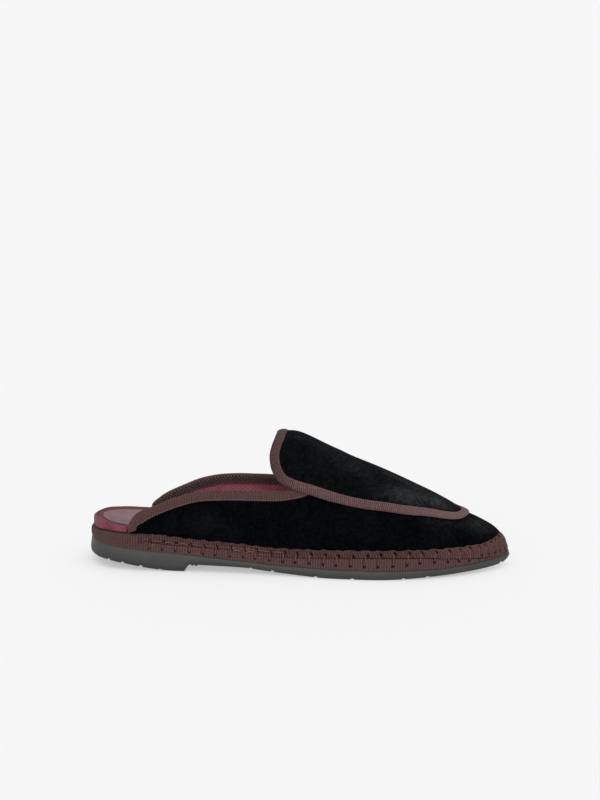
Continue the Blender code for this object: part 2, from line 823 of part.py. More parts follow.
def build_apron():
    """Velvet apron inside its ribbon, with a free tab behind the throat."""
    path = apron_edge()
    edge = path + leftward(path, closed=True) * (RIBBON_WIDTH + SEAT_GAP)
    inside = []
    for station in np.arange(edge[:, 0].min(), edge[:, 0].max(), TAB_GRID):
        for reach in np.arange(-8.0, 9.0) * TAB_GRID:
            place = np.array((station, reach))
            clear = np.linalg.norm(edge - place, axis=1).min() > 0.62 * TAB_GRID
            if clear and encloses(edge, place):
                inside.append(place)
    points = [Vector(p) for p in np.vstack((edge, inside))]
    border = [(i, (i + 1) % len(edge)) for i in range(len(edge))]
    flat, _, faces, *_ = delaunay_2d_cdt(points, border, [], 1, 1e-4)
    outside = np.array([on_last(p.x, p.y, apron_seat(p.x) + APRON_WALL) for p in flat])
    under = np.array([on_last(p.x, p.y, apron_seat(p.x)) for p in flat])
    return add_shell("apron", outside, under, [tuple(face) for face in faces], VELVET)


def encloses(loop, place):
    """Whether a closed loop in the plane goes round a place."""
    ahead = np.roll(loop, -1, axis=0)
    crosses = (loop[:, 1] > place[1]) != (ahead[:, 1] > place[1])
    rise = np.where(crosses, ahead[:, 1] - loop[:, 1], 1.0)
    at = loop[:, 0] + (place[1] - loop[:, 1]) / rise * (ahead[:, 0] - loop[:, 0])
    return int(np.count_nonzero(crosses & (at > place[0]))) % 2 == 1


def main():
    """Build every piece of the shoe, from the ground up."""
    for thing in list(bpy.data.objects):
        bpy.data.objects.remove(thing, do_unlink=True)
    insole_rows = sole_rows(INSOLE_HEEL_INSET, insole_end())
    build_outsole()
    build_midsole(insole_rows)
    build_rand()
    build_insole(insole_rows)
    build_heel_pad()
    build_upper()
    build_collar_binding("collar_binding_lateral", -1.0)
    build_collar_binding("collar_binding_medial", 1.0)
    build_apron()
    build_apron_binding()


main()
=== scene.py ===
"""Dressed model of a backless velvet slipper loafer, right foot.

Sizes are in millimetres from the back of the heel unless a name says otherwise;
meshes are made in metres.  +X runs to the toe, -Y is the outer side of the foot.
"""
import logging
from dataclasses import dataclass
from enum import Enum
from typing import Callable, Iterable, Optional, Sequence

import bmesh
import bpy
import numpy as np
from mathutils import Matrix, Vector


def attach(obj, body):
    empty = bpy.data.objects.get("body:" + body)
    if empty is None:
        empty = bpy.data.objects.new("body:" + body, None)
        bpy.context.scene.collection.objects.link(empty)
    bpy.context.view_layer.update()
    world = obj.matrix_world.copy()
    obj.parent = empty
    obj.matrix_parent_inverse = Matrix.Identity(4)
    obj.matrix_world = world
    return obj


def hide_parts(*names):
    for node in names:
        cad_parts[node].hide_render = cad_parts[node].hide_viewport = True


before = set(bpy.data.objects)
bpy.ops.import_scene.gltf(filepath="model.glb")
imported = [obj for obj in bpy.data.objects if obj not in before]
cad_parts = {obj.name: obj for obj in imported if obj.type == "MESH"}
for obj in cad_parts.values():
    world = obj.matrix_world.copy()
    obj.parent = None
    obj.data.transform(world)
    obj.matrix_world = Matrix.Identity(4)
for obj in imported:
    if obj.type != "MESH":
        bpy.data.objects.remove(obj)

Array = np.ndarray
Material = bpy.types.Material
Piece = bpy.types.Object
Socket = bpy.types.NodeSocket
Pair = tuple[float, float]
Triple = tuple[float, float, float]
Four = tuple[float, float, float, float]
Colour = Triple

log = logging.getLogger("slipper")

MM = 0.001
LENGTH = 265.0
SIDE_SHIFT = 0.5
BODY = "root"
WEAVE = "weave"
WELD = 2e-6
SPECK = 1e-7
SHARP = 50.0
THREAD_LEAD = (0.31, 0.23, 0.92)


class Side(Enum):
    """The two sides of the foot, with the sign of Y on each."""

    LATERAL = -1.0
    MEDIAL = 1.0


class Slot(Enum):
    """Material slots of the record."""

    RUBBER = "rubber_sole"
    RIBBON = "ribbon"
    CLOTH = "insole_cloth"
    PAD = "pad_cloth"
    VELVET = "velvet"


def ease(start: float, end: float, at: Array) -> Array:
    """Smooth step from 0 at start to 1 at end."""
    t = np.clip((np.asarray(at, float) - start) / (end - start), 0.0, 1.0)
    return t * t * (3.0 - 2.0 * t)


def bell(at: Array, middle: float, width: float) -> Array:
    """Rounded hump of height 1 about a middle, gone at about twice its width."""
    return np.exp(-(((np.asarray(at, float) - middle) / width) ** 2))


def spread(start: float, end: float, count: int, pull: float = 0.0, pull_end: float = 0.0) -> Array:
    """Stations from start to end, drawn closer at the ends.

    Args:
        start: First station.
        end: Last station.
        count: How many stations.
        pull: How far they are drawn to the start, 0 to 1.
        pull_end: How far they are drawn to the end, 0 to 1.

    Returns:
        The stations in order.
    """
    share = np.linspace(0.0, 1.0, count)
    share = share + pull * (1.0 - np.cos(share * np.pi / 2.0) - share)
    share = share + pull_end * (np.sin(share * np.pi / 2.0) - share)
    return start + (end - start) * share


def lengths(path: Array) -> Array:
    """Length along a path at each of its points."""
    return np.concatenate(([0.0], np.cumsum(np.linalg.norm(np.diff(path, axis=0), axis=1))))


def points_at(path: Array, run: Array, at: Array) -> Array:
    """Points of a path at wanted lengths, read between the lengths of its own points."""
    return np.column_stack([np.interp(at, run, c) for c in path.T])


def resample(path: Array, count: int) -> Array:
    """A number of points at an even spacing along a path."""
    run = lengths(path)
    return points_at(path, run, np.linspace(0.0, run[-1], count))


def unit(rows: Array) -> Array:
    """Rows of directions, each brought to a length of 1."""
    return rows / np.linalg.norm(rows, axis=1)[:, None]


def nearest(run: Array, marks: Array) -> Array:
    """Distance of each length from the nearest mark."""
    return np.abs(run[:, None] - marks[None]).min(axis=1)


def sign(reach: Array) -> Array:
    """Side of the foot, as the sign of Y, of shares or reaches from the crest."""
    return np.where(reach < 0.0, -1.0, 1.0)


@dataclass(frozen=True)
class Curve:
    """Smooth curve through a short table, never overshooting its rows.

    Attributes:
        rows: Pairs of station and value.
        rounded: Whether the square of the value is what runs smoothly, for a round end.
    """

    rows: tuple[Pair, ...]
    rounded: bool = False

    def __call__(self, at: Array) -> Array:
        """Value at each station.

        Args:
            at: Stations, held inside the table.

        Returns:
            The values.
        """
        knots, values = np.array(self.rows, float).T
        if self.rounded:
            values = values ** 2
        at = np.clip(np.asarray(at, float), knots[0], knots[-1])
        step = np.diff(knots)
        slope = np.diff(values) / step
        tangent = np.zeros(len(knots))
        tangent[0], tangent[-1] = slope[0], slope[-1]
        alike = slope[:-1] * slope[1:] > 0.0
        before = 2.0 * step[1:] + step[:-1]
        after = step[1:] + 2.0 * step[:-1]
        inner = tangent[1:-1]
        inner[alike] = ((before + after)[alike]
                        / (before[alike] / slope[:-1][alike] + after[alike] / slope[1:][alike]))
        cell = np.clip(np.searchsorted(knots, at, side="right") - 1, 0, len(step) - 1)
        t = (at - knots[cell]) / step[cell]
        rise = values[cell + 1] - values[cell]
        lead = step[cell] * tangent[cell]
        trail = step[cell] * tangent[cell + 1]
        square = 3.0 * rise - 2.0 * lead - trail
        cube = lead + trail - 2.0 * rise
        found = values[cell] + t * (lead + t * (square + t * cube))
        return np.sqrt(np.maximum(found, 0.0)) if self.rounded else found


def columns(rows: Sequence[Sequence[float]], rounded: Iterable[int] = ()) -> list[Curve]:
    """Curves from a table whose first column is the station.

    Args:
        rows: The table.
        rounded: Numbers of the columns that fall to zero in a round end.

    Returns:
        One curve for each further column.
    """
    table = np.array(rows, float)
    return [Curve(tuple(map(tuple, table[:, (0, k)])), k in tuple(rounded))
            for k in range(1, table.shape[1])]


LAST_END = 260.0
# Columns: station, lateral half-width, medial half-width, base, crest, ridge roundness, wall roundness
LAST_ROWS = (
    (0, 20, 20, 18.2, 60, 2, 1.5),
    (20, 24, 23.8, 18.1, 68, 2, 1.5),
    (40, 26.1, 25.6, 17.5, 74, 2, 1.5),
    (70, 27.3, 24.3, 15.7, 80, 2, 1.5),
    (100, 29.3, 23.3, 13.2, 82, 1.95, 1.5),
    (121, 32.4, 25.4, 11.8, 80.4, 1.8, 1.55),
    (127, 33.3, 26.4, 11.7, 79.9, 1.8, 1.55),
    (155, 38, 33.7, 11.9, 68.2, 1.85, 1.55),
    (181, 39.7, 38.7, 11.7, 57.4, 1.95, 1.6),
    (210, 34.9, 35, 11.2, 44, 2, 1.7),
    (230, 26.4, 26.7, 11.2, 34.1, 2, 1.8),
    (238, 21.6, 21.8, 11.4, 31, 2, 1.9),
    (247, 15.9, 16, 11.8, 27, 2, 2),
    (254, 10.6, 10.7, 12.2, 23, 2, 2),
    (LAST_END, 0, 0, 12.6, 12.6, 2, 2),
)
# Columns: station, lateral half-width, medial half-width of the sole
OUTLINE_ROWS = (
    (0, 0, 0), (8, 20.5, 20.5), (22, 28.6, 28.4), (40, 30.5, 30), (70, 31.6, 28.6),
    (100, 33.6, 27.6), (130, 38, 31.2), (160, 43, 39), (181, 44, 43),
    (200, 41.6, 41.6), (220, 35.4, 35.8), (243, 23.8, 24.2), (257, 13.8, 14),
    (LENGTH, 0.0, 0.0),
)
# Columns: station, top of the rubber, seam over the wrap, top of the band, top of the insole
SOLE_ROWS = (
    (0, 16.4, 18, 21.4, 29.1), (7, 15.6, 18, 22.2, 28.8), (15, 14.8, 18, 22.8, 27.8),
    (24, 13.8, 17.9, 22.7, 27), (36, 12.6, 17.6, 22.4, 26.2), (45, 12, 17.15, 22.6, 25.6),
    (52, 11.5, 16.75, 22, 25.1), (60, 11, 16.2, 21, 24.6),
    (99, 7.9, 13.2, 18.3, 21.4), (120, 6.6, 11.7, 16.9, 19.7), (140, 6.2, 12.1, 17.2, 18.9),
    (158, 6, 13, 17.6, 18.4), (185, 5.8, 13.7, 17.9, 18.1), (212, 5.6, 13, 17.4, 17.8),
    (225, 5.6, 11.6, 17.1, 17.8), (232, 5.9, 10.8, 16.9, 17.8), (240, 6.2, 9.7, 17, 17.8),
    (247, 6.7, 8.9, 17.6, 17.8), (252, 7.1, 8.7, 18.8, 17.9), (257, 7.5, 8.8, 20.8, 18),
    (LENGTH, 8.6, 9.6, 21.2, 18.2),
)
RUBBER_TOP, SEAM, BAND, INSOLE_TOP = columns(SOLE_ROWS)
OUTLINE = dict(zip(Side, columns(OUTLINE_ROWS, (1, 2))))
QUARTER_START = 28.4
RAND_START = 34.0
LEDGE_STEP = 0.8
THROAT = 151.5
THROAT_BEND = 146.0


def lip_height(station: Array) -> Array:
    """Top of the wrap's outer wall: the seam under the rand, the lip at the bare heel."""
    bare, covered = BAND(station), SEAM(station)
    return bare + (covered - bare) * ease(RAND_START - LEDGE_STEP, RAND_START, station)


class Last:
    """The form that the shoe is built on: half-round sections over a base line.

    A place is a station and a share of the half-section: 0 at the crest, -1 at the
    outer base line and +1 at the inner one.
    """

    SAMPLES = 161
    REACH = 0.3
    TIP = 0.03

    def __init__(self) -> None:
        """Read the table of sections."""
        table = np.array(LAST_ROWS)
        rise = np.column_stack((table[:, 0], table[:, 4] - table[:, 3]))
        self.rise = Curve(tuple(map(tuple, rise)), True)
        read = columns(LAST_ROWS, (1, 2))
        self.width = dict(zip(Side, read[:2]))
        self.base, self.ridge, self.wall = read[2], read[4], read[5]
        self.angle = np.linspace(np.pi / 2.0, 0.0, self.SAMPLES)

    def half(self, station: Array, side: Array) -> tuple[Array, Array, Array]:
        """Half-sections from crest to base.

        Args:
            station: Where each section is.
            side: Sign of the side of each.

        Returns:
            Half-width, height and length from the crest, a row of samples for each station.
        """
        station = np.asarray(station, float)[:, None]
        lateral, medial = (self.width[s](station) for s in Side)
        width = np.where(np.asarray(side)[:, None] < 0.0, lateral, medial)
        across = width * np.clip(np.cos(self.angle), 0.0, 1.0) ** (2.0 / self.ridge(station))
        up = self.base(station) + self.rise(station) * np.sin(self.angle) ** (2.0 / self.wall(station))
        run = np.cumsum(np.hypot(np.diff(across, axis=1), np.diff(up, axis=1)), axis=1)
        return across, up, np.concatenate((np.zeros((len(run), 1)), run), axis=1)

    @staticmethod
    def pick(row: Array, at: Array, wanted: Array) -> Array:
        """Values of rows of samples at places read along other rows that rise.

        Args:
            row: Rows of samples.
            at: Where the samples are, in like rows.
            wanted: The place wanted in each row.

        Returns:
            A value for each row.
        """
        cell = np.clip((at <= wanted[:, None]).sum(axis=1) - 1, 0, at.shape[1] - 2)
        n = np.arange(len(cell))
        gap = np.maximum(at[n, cell + 1] - at[n, cell], 1e-9)
        t = np.clip((wanted - at[n, cell]) / gap, 0.0, 1.0)
        return row[n, cell] * (1.0 - t) + row[n, cell + 1] * t

    def girth(self, station: Array, side: Array) -> Array:
        """Length of each half-section."""
        return self.half(station, side)[2][:, -1]

    def point(self, station: Array, share: Array) -> Array:
        """Points on the last.

        Args:
            station: Stations.
            share: Shares of the half-section.

        Returns:
            A point for each.
        """
        station = np.minimum(np.asarray(station, float), LAST_END - self.TIP)
        share = np.asarray(share, float)
        side = sign(share)
        across, up, run = self.half(station, side)
        along = np.minimum(np.abs(share), 1.0) * run[:, -1]
        return np.column_stack((station, side * self.pick(across, run, along), self.pick(up, run, along)))

    def normal(self, station: Array, share: Array) -> Array:
        """Outward directions of the last.

        Args:
            station: Stations.
            share: Shares of the half-section.

        Returns:
            A unit direction for each.
        """
        station, share = np.asarray(station, float), np.asarray(share, float)
        ahead = np.minimum(station + self.REACH, LAST_END - self.TIP)
        along = self.point(ahead, share) - self.point(ahead - 2.0 * self.REACH, share)
        girth = self.girth(np.minimum(station, LAST_END - self.TIP), sign(share))
        reach = np.minimum(self.REACH / girth, 0.2)
        low = self.point(station, np.maximum(share - reach, -1.0))
        high = self.point(station, np.minimum(share + reach, 1.0))
        out = unit(np.cross(along, high - low))
        out[station >= LAST_END - self.TIP] = (1.0, 0.0, 0.0)
        return out

    def offset(self, station: Array, share: Array, distance: Array) -> Array:
        """Points at a distance outside the last."""
        return self.point(station, share) + np.reshape(distance, (-1, 1)) * self.normal(station, share)

    def share_at(self, station: Array, side: Side, height: Array) -> Array:
        """Share of the half-section, without a sign, at which it is at a height.

        Args:
            station: Stations.
            side: Which side.
            height: Heights.

        Returns:
            A share for each.
        """
        station = np.minimum(np.asarray(station, float), LAST_END - self.TIP)
        _, up, run = self.half(station, np.full(len(station), side.value))
        return self.pick(run, -up, -np.broadcast_to(height, station.shape)) / run[:, -1]

    def width_at(self, station: Array, side: Side, height: Array) -> Array:
        """Half-width of the section at a height, zero above its crest.

        Args:
            station: Stations.
            side: Which side.
            height: Heights.

        Returns:
            A half-width for each.
        """
        station = np.asarray(station, float)
        across, up, _ = self.half(station, np.full(len(station), side.value))
        height = np.broadcast_to(height, station.shape)
        return np.where(height >= up[:, 0], 0.0, self.pick(across, -up, -height))

    def place(self, spots: Array, distance: Array) -> Array:
        """Points outside the last from spots of station and reach from the crest."""
        girth = self.girth(spots[:, 0], sign(spots[:, 1]))
        return self.offset(spots[:, 0], spots[:, 1] / girth, distance)


LAST = Last()


@dataclass
class Patch:
    """A sheet of quads.

    Attributes:
        points: Rows by columns of points, in millimetres.
        weave: Distance along and across the cloth and depth of shade, for each point.
        finish: Number of the finish it wears.
    """

    points: Array
    weave: Array
    finish: int = 0


def grid_weave(points: Array, shade: Optional[Array] = None) -> Array:
    """Distances along and across a sheet of points, with a shade.

    Args:
        points: Rows by columns of points.
        shade: Depth of shade at each, or none.

    Returns:
        Rows by columns of distance along the rows, distance across, and shade.
    """
    down = np.linalg.norm(np.diff(points, axis=0), axis=2)
    over = np.linalg.norm(np.diff(points, axis=1), axis=2)
    middle = points.shape[1] // 2
    along = np.concatenate(([0.0], np.cumsum(down[:, middle])))
    across = np.concatenate((np.zeros((len(points), 1)), np.cumsum(over, axis=1)), axis=1)
    shade = np.zeros(points.shape[:2]) if shade is None else shade
    return np.stack((np.broadcast_to(along[:, None], across.shape), across, shade), axis=2)


def to_world(points: Array) -> Array:
    """Millimetres from the back of the heel to metres in the shared frame."""
    return (points - (LENGTH / 2.0, -SIDE_SHIFT, 0.0)) * MM


def make_piece(name: str, patches: Sequence[Patch], finishes: Sequence[Material],
               replaces: Sequence[str] = ()) -> Piece:
    """One object from sheets of quads, welded where they meet.

    Args:
        name: Name of the piece.
        patches: Its sheets.
        finishes: Its materials, by the sheets' numbers.
        replaces: Nodes of the frame that it stands for.

    Returns:
        The object, riding on the shoe.
    """
    points, faces, weave, worn, count = [], [], [], [], 0
    for patch in patches:
        rows, cols = patch.points.shape[:2]
        at = count + np.arange(rows * cols).reshape(rows, cols)
        quads = np.stack((at[:-1, :-1], at[1:, :-1], at[1:, 1:], at[:-1, 1:]), axis=2).reshape(-1, 4)
        points.append(patch.points.reshape(-1, 3))
        weave.append(patch.weave.reshape(-1, 3)[quads.ravel() - count])
        faces.append(quads)
        worn.append(np.full(len(quads), patch.finish))
        count += rows * cols
    mesh = bpy.data.meshes.new(name)
    mesh.from_pydata(to_world(np.vstack(points)).tolist(), [], np.vstack(faces).tolist())
    layer = mesh.attributes.new(WEAVE, "FLOAT_VECTOR", "CORNER")
    layer.data.foreach_set("vector", np.vstack(weave).astype(np.float32).ravel())
    mesh.polygons.foreach_set("material_index", np.concatenate(worn).astype(np.int32))
    for finish in finishes:
        mesh.materials.append(finish)
    bm = bmesh.new()
    bm.from_mesh(mesh)
    bmesh.ops.remove_doubles(bm, verts=bm.verts, dist=WELD)
    bmesh.ops.dissolve_degenerate(bm, edges=bm.edges, dist=SPECK)
    bmesh.ops.recalc_face_normals(bm, faces=bm.faces)
    bm.to_mesh(mesh)
    bm.free()
    mesh.shade_smooth()
    mesh.set_sharp_from_angle(angle=np.radians(SHARP))
    piece = bpy.data.objects.new(name, mesh)
    bpy.context.scene.collection.objects.link(piece)
    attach(piece, BODY)
    if replaces:
        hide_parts(*replaces)
    log.info("%s: %d faces", name, len(mesh.polygons))
    return piece


def shell(outer: Array, inner: Array, shade: Optional[Array] = None) -> list[Patch]:
    """A closed wall between two sheets of like points: both faces and the four edges.

    Args:
        outer: Outer sheet.
        inner: Inner sheet.
        shade: Depth of shade on the outer sheet.

    Returns:
        The sheets of the wall.
    """
    flip = inner[:, ::-1]
    found = [Patch(outer, grid_weave(outer, shade)), Patch(flip, grid_weave(flip))]
    for a, b in ((outer[0], inner[0]), (inner[-1], outer[-1]), (inner[:, 0], outer[:, 0]),
                 (outer[:, -1], inner[:, -1])):
        edge = np.stack((a, b))
        found.append(Patch(edge, grid_weave(edge)))
    return found


def tube(path: Array, radius: Array, sides: int = 8) -> Patch:
    """A round thread along a path, drawn to a point at both ends.

    Args:
        path: Points along its middle.
        radius: Radius at each.
        sides: Number of sides.

    Returns:
        The sheet of the thread.
    """
    run = unit(np.gradient(path, axis=0))
    one = unit(np.cross(run, THREAD_LEAD))
    two = np.cross(run, one)
    turn = np.linspace(0.0, 2.0 * np.pi, sides + 1)
    ring = (one[:, None] * np.cos(turn)[None, :, None] + two[:, None] * np.sin(turn)[None, :, None])
    points = path[:, None] + ring * np.reshape(radius, (-1, 1, 1))
    return Patch(points, grid_weave(points))


class Palette:
    """Adds nodes to one material, with short calls for what the finishes share."""

    def __init__(self, name: str) -> None:
        """Start a material.

        Args:
            name: Name of the material.
        """
        self.material = bpy.data.materials.new(name)
        self.material.use_nodes = True
        self.tree = self.material.node_tree
        self.shader = self.tree.nodes["Principled BSDF"]

    def put(self, socket: Socket, value: object) -> None:
        """Link a socket, or set its value.

        Args:
            socket: The input.
            value: A socket or a value.
        """
        if isinstance(value, Socket):
            self.tree.links.new(value, socket)
        else:
            socket.default_value = value

    def add(self, kind: str, inputs: dict, **settings: object) -> bpy.types.Node:
        """A new node.

        Args:
            kind: Blender's name for the kind of node.
            inputs: Sockets or values, by the name or number of the input.
            **settings: Properties of the node.

        Returns:
            The node.
        """
        node = self.tree.nodes.new(kind)
        for key, value in settings.items():
            setattr(node, key, value)
        for key, value in inputs.items():
            self.put(node.inputs[key], value)
        return node

    def math(self, operation: str, a: object, b: object = 0.0, c: object = 0.0) -> Socket:
        """Result of a sum on sockets or numbers."""
        return self.add("ShaderNodeMath", {0: a, 1: b, 2: c}, operation=operation).outputs[0]

    def weave(self) -> Sequence[Socket]:
        """Distance along the cloth, distance across it, and depth of shade."""
        read = self.add("ShaderNodeAttribute", {}, attribute_name=WEAVE)
        return self.add("ShaderNodeSeparateXYZ", {0: read.outputs["Vector"]}).outputs

    def place(self) -> Socket:
        """Place on the object, in metres."""
        return self.add("ShaderNodeTexCoord", {}).outputs["Object"]

    def noise(self, size: float, detail: float = 2.0) -> Socket:
        """Cloudy pattern whose patches have a size in millimetres."""
        inputs = {"Vector": self.place(), "Scale": 1.0 / (size * MM), "Detail": detail}
        return self.add("ShaderNodeTexNoise", inputs).outputs["Fac"]

    def wave(self, at: object, pitch: float) -> Socket:
        """Even ridges, 0 to 1, with a pitch along a distance."""
        turned = self.math("SINE", self.math("MULTIPLY", at, 2.0 * np.pi / pitch))
        return self.math("MULTIPLY_ADD", turned, 0.5, 0.5)

    def between(self, value: object, low: float, high: float) -> Socket:
        """A value mapped from low..high to 0..1 and held there."""
        return self.add("ShaderNodeMapRange", {0: value, 1: low, 2: high}).outputs[0]

    def mix(self, share: object, first: object, second: object) -> Socket:
        """Blend of two colours."""
        a, b = ((*c, 1.0) if isinstance(c, tuple) else c for c in (first, second))
        return self.add("ShaderNodeMix", {0: share, 6: a, 7: b}, data_type="RGBA").outputs[2]

    def bump(self, height: object, depth: float, strength: float = 1.0) -> None:
        """Relief of a depth in millimetres on the shader, over any relief already there.

        Args:
            height: Pattern of the relief.
            depth: Its depth in millimetres.
            strength: How strongly it shows, 0 to 1.
        """
        inputs = {"Height": height, "Distance": depth * MM, "Strength": strength}
        had = self.shader.inputs["Normal"].links
        if had:
            inputs["Normal"] = had[0].from_socket
        made = self.add("ShaderNodeBump", inputs)
        self.put(self.shader.inputs["Normal"], made.outputs[0])

    def wear(self, **inputs: object) -> Material:
        """Set the shader's own sockets.

        Args:
            **inputs: Sockets or values, by the input's name with _ for a space.

        Returns:
            The material.
        """
        for key, value in inputs.items():
            name = key.replace("_", " ")
            self.put(self.shader.inputs[name], (*value, 1.0) if isinstance(value, tuple) else value)
        return self.material


@dataclass(frozen=True)
class Velvet:
    """Short cut pile with a soft glow where it is seen along the pile.

    Attributes:
        name: Name of the finish.
        deep: Colour into the pile.
        brushed: Colour where the pile lies over.
        highlight_colour: Colour of the painted highlights, where light catches the pile.
        glow: Colour of the glow at its edges.
        sheen: Strength of the glow.
    """

    name: str
    deep: Colour
    brushed: Colour
    highlight_colour: Colour
    glow: Colour
    sheen: float

    def make(self) -> Material:
        """Mix the material.

        Returns:
            The material.
        """
        p = Palette(self.name)
        clouds = p.between(p.noise(13.0, 3.0), 0.36, 0.68)
        tufts = p.between(p.noise(2.3, 3.0), 0.42, 0.64)
        pile = p.between(p.noise(1.1, 2.0), 0.38, 0.66)
        nap = p.math("MULTIPLY_ADD", pile, 0.5, p.math("MULTIPLY", tufts, 0.5))
        lie = p.math("MULTIPLY_ADD", nap, 0.7, p.math("MULTIPLY", clouds, 0.3))
        shade = p.weave()[2]
        # Shade below 0 paints highlights: the pile turns towards the highlight colour where light catches it.
        highlit = p.math("MULTIPLY", p.between(shade, 0.0, -1.0), p.math("MULTIPLY_ADD", lie, 0.9, 0.1))
        lit = p.mix(highlit, p.mix(lie, self.deep, self.brushed), self.highlight_colour)
        p.bump(pile, 0.14, 0.7)
        p.bump(tufts, 0.2, 0.5)
        # Shade above 0 paints shade: the pile darkens where shade falls.
        colour = p.mix(p.between(shade, 0.0, 1.0), lit, tuple(0.4 * c for c in self.deep))
        return p.wear(Base_Color=colour, Roughness=0.95, Specular_IOR_Level=0.02, Sheen_Weight=self.sheen,
                      Sheen_Roughness=0.4, Sheen_Tint=self.glow)


@dataclass(frozen=True)
class Grosgrain:
    """Ribbon with ribs across it.

    Attributes:
        name: Name of the finish.
        valley: Colour between the ribs.
        rib: Colour on a rib.
        pitch: Distance from rib to rib.
        knotted: How far the ribs break up into small knots, 0 to 1.
        sheen: Strength of its soft edge glow.
        contrast: How far its tones are spread about their middle.
    """

    name: str
    valley: Colour
    rib: Colour
    pitch: float
    knotted: float = 0.0
    sheen: float = 0.06
    contrast: float = 1.6

    def make(self) -> Material:
        """Mix the material.

        Returns:
            The material.
        """
        p = Palette(self.name)
        along, across, shade = p.weave()
        rib = p.wave(p.math("MULTIPLY_ADD", p.noise(5.0, 2.0), 0.2, along), self.pitch)
        thread = p.wave(p.math("MULTIPLY_ADD", rib, 0.25, across), 0.62)
        left, right = (p.wave(p.math("MULTIPLY_ADD", across, way, along), self.pitch) for way in (0.8, -0.8))
        woven = p.math("MULTIPLY_ADD", thread, 0.25, p.math("MULTIPLY", rib, 0.75))
        knot = p.math("MULTIPLY", p.math("MULTIPLY", left, right), 1.5 * self.knotted)
        woven = p.math("MULTIPLY_ADD", woven, 1.0 - self.knotted, knot)
        patchy = p.between(p.noise(3.0, 4.0), 0.3, 0.7)
        plain = p.math("MULTIPLY_ADD", p.between(p.noise(1.2, 2.0), 0.35, 0.65), 0.5, 0.17)
        clear = p.math("MULTIPLY_ADD", patchy, 0.55, 0.3)
        tone = p.add("ShaderNodeMix", {0: clear, 2: plain, 3: woven}).outputs[0]
        tone = p.math("MULTIPLY_ADD", tone, self.contrast, 0.45 * (1.0 - self.contrast))
        tone = p.math("MULTIPLY_ADD", p.between(shade, 0.0, -1.0), 0.35, tone)
        dark = tuple(0.14 * c for c in self.valley)
        p.bump(rib, 0.1, 0.6)
        p.bump(thread, 0.1, 0.6)
        colour = p.mix(p.between(shade, 0.0, 1.0), p.mix(tone, self.valley, self.rib), dark)
        return p.wear(Base_Color=colour, Roughness=0.86, Specular_IOR_Level=0.16, Sheen_Weight=self.sheen,
                      Sheen_Roughness=0.5)


@dataclass(frozen=True)
class Twill:
    """Cloth woven in slanting lines.

    Attributes:
        name: Name of the finish.
        valley: Colour between the lines.
        line: Colour on a line.
        pitch: Distance from line to line.
        slant: How far a line climbs for each step along.
    """

    name: str
    valley: Colour
    line: Colour
    pitch: float
    slant: float

    def make(self) -> Material:
        """Mix the material.

        Returns:
            The material.
        """
        p = Palette(self.name)
        along, across, shade = p.weave()
        slanting = p.math("MULTIPLY_ADD", across, self.slant, along)
        line = p.wave(p.math("MULTIPLY_ADD", p.noise(4.0), 0.35, slanting), self.pitch)
        fine = p.wave(p.math("MULTIPLY_ADD", along, -self.slant, across), 0.45)
        woven = p.math("MULTIPLY_ADD", fine, 0.25, p.math("MULTIPLY", line, 0.75))
        tone = p.math("MULTIPLY", woven, p.between(p.noise(8.0, 3.0), 0.1, 0.65))
        colour = p.mix(tone, self.valley, self.line)
        p.bump(line, 0.16, 0.8)
        p.bump(fine, 0.06, 0.5)
        dark = tuple(0.2 * c for c in self.valley)
        return p.wear(Base_Color=p.mix(shade, colour, dark), Roughness=0.86, Specular_IOR_Level=0.22,
                      Sheen_Weight=0.1, Sheen_Roughness=0.5)


@dataclass(frozen=True)
class PadCloth:
    """Close smooth cloth, with shade painted dark along its edge.

    Attributes:
        name: Name of the finish.
        low: Darker tone.
        high: Lighter tone.
        edge: Colour of the shade painted along its edge, where the pad meets the insole.
    """

    name: str
    low: Colour
    high: Colour
    edge: Colour

    def make(self) -> Material:
        """Mix the material.

        Returns:
            The material.
        """
        p = Palette(self.name)
        along, across, shade = p.weave()
        woven = p.math("MULTIPLY", p.wave(along, 0.6), p.wave(across, 0.6))
        cloud = p.between(p.noise(6.0, 4.0), 0.3, 0.7)
        tone = p.math("MULTIPLY_ADD", woven, 0.5, p.math("MULTIPLY", cloud, 0.5))
        p.bump(woven, 0.06, 0.6)
        # Shade mixes in the edge colour: painted shade round the pad's edge.
        return p.wear(Base_Color=p.mix(shade, p.mix(tone, self.low, self.high), self.edge), Roughness=0.72,
                      Specular_IOR_Level=0.3, Sheen_Weight=0.08)


@dataclass(frozen=True)
class Rubber:
    """Matt moulded rubber.

    Attributes:
        name: Name of the finish.
        low: Darker tone.
        high: Lighter tone.
    """

    name: str
    low: Colour
    high: Colour

    def make(self) -> Material:
        """Mix the material.

        Returns:
            The material.
        """
        p = Palette(self.name)
        shade = p.weave()[2]
        cloud = p.between(p.noise(9.0, 4.0), 0.3, 0.7)
        speck = p.noise(0.4, 2.0)
        tone = p.math("MULTIPLY_ADD", p.between(speck, 0.35, 0.65), 0.3, p.math("MULTIPLY", cloud, 0.7))
        rubbed = p.math("MULTIPLY_ADD", cloud, 0.16, 0.5)
        p.bump(speck, 0.05, 0.6)
        p.bump(cloud, 0.1, 0.3)
        dark = tuple(0.35 * c for c in self.low)
        return p.wear(Base_Color=p.mix(shade, p.mix(tone, self.low, self.high), dark), Roughness=rubbed,
                      Specular_IOR_Level=0.38)


@dataclass(frozen=True)
class Thread:
    """Twisted sewing thread.

    Attributes:
        name: Name of the finish.
        low: Colour between the strands.
        high: Colour on a strand.
    """

    name: str
    low: Colour
    high: Colour

    def make(self) -> Material:
        """Mix the material.

        Returns:
            The material.
        """
        p = Palette(self.name)
        along, across, shade = p.weave()
        strand = p.wave(p.math("MULTIPLY_ADD", across, 0.8, along), 0.75)
        p.bump(strand, 0.08, 0.8)
        colour = p.mix(strand, self.low, self.high)
        dark = tuple(0.3 * c for c in self.low)
        return p.wear(Base_Color=p.mix(shade, colour, dark), Roughness=0.6, Specular_IOR_Level=0.3,
                      Sheen_Weight=0.1)


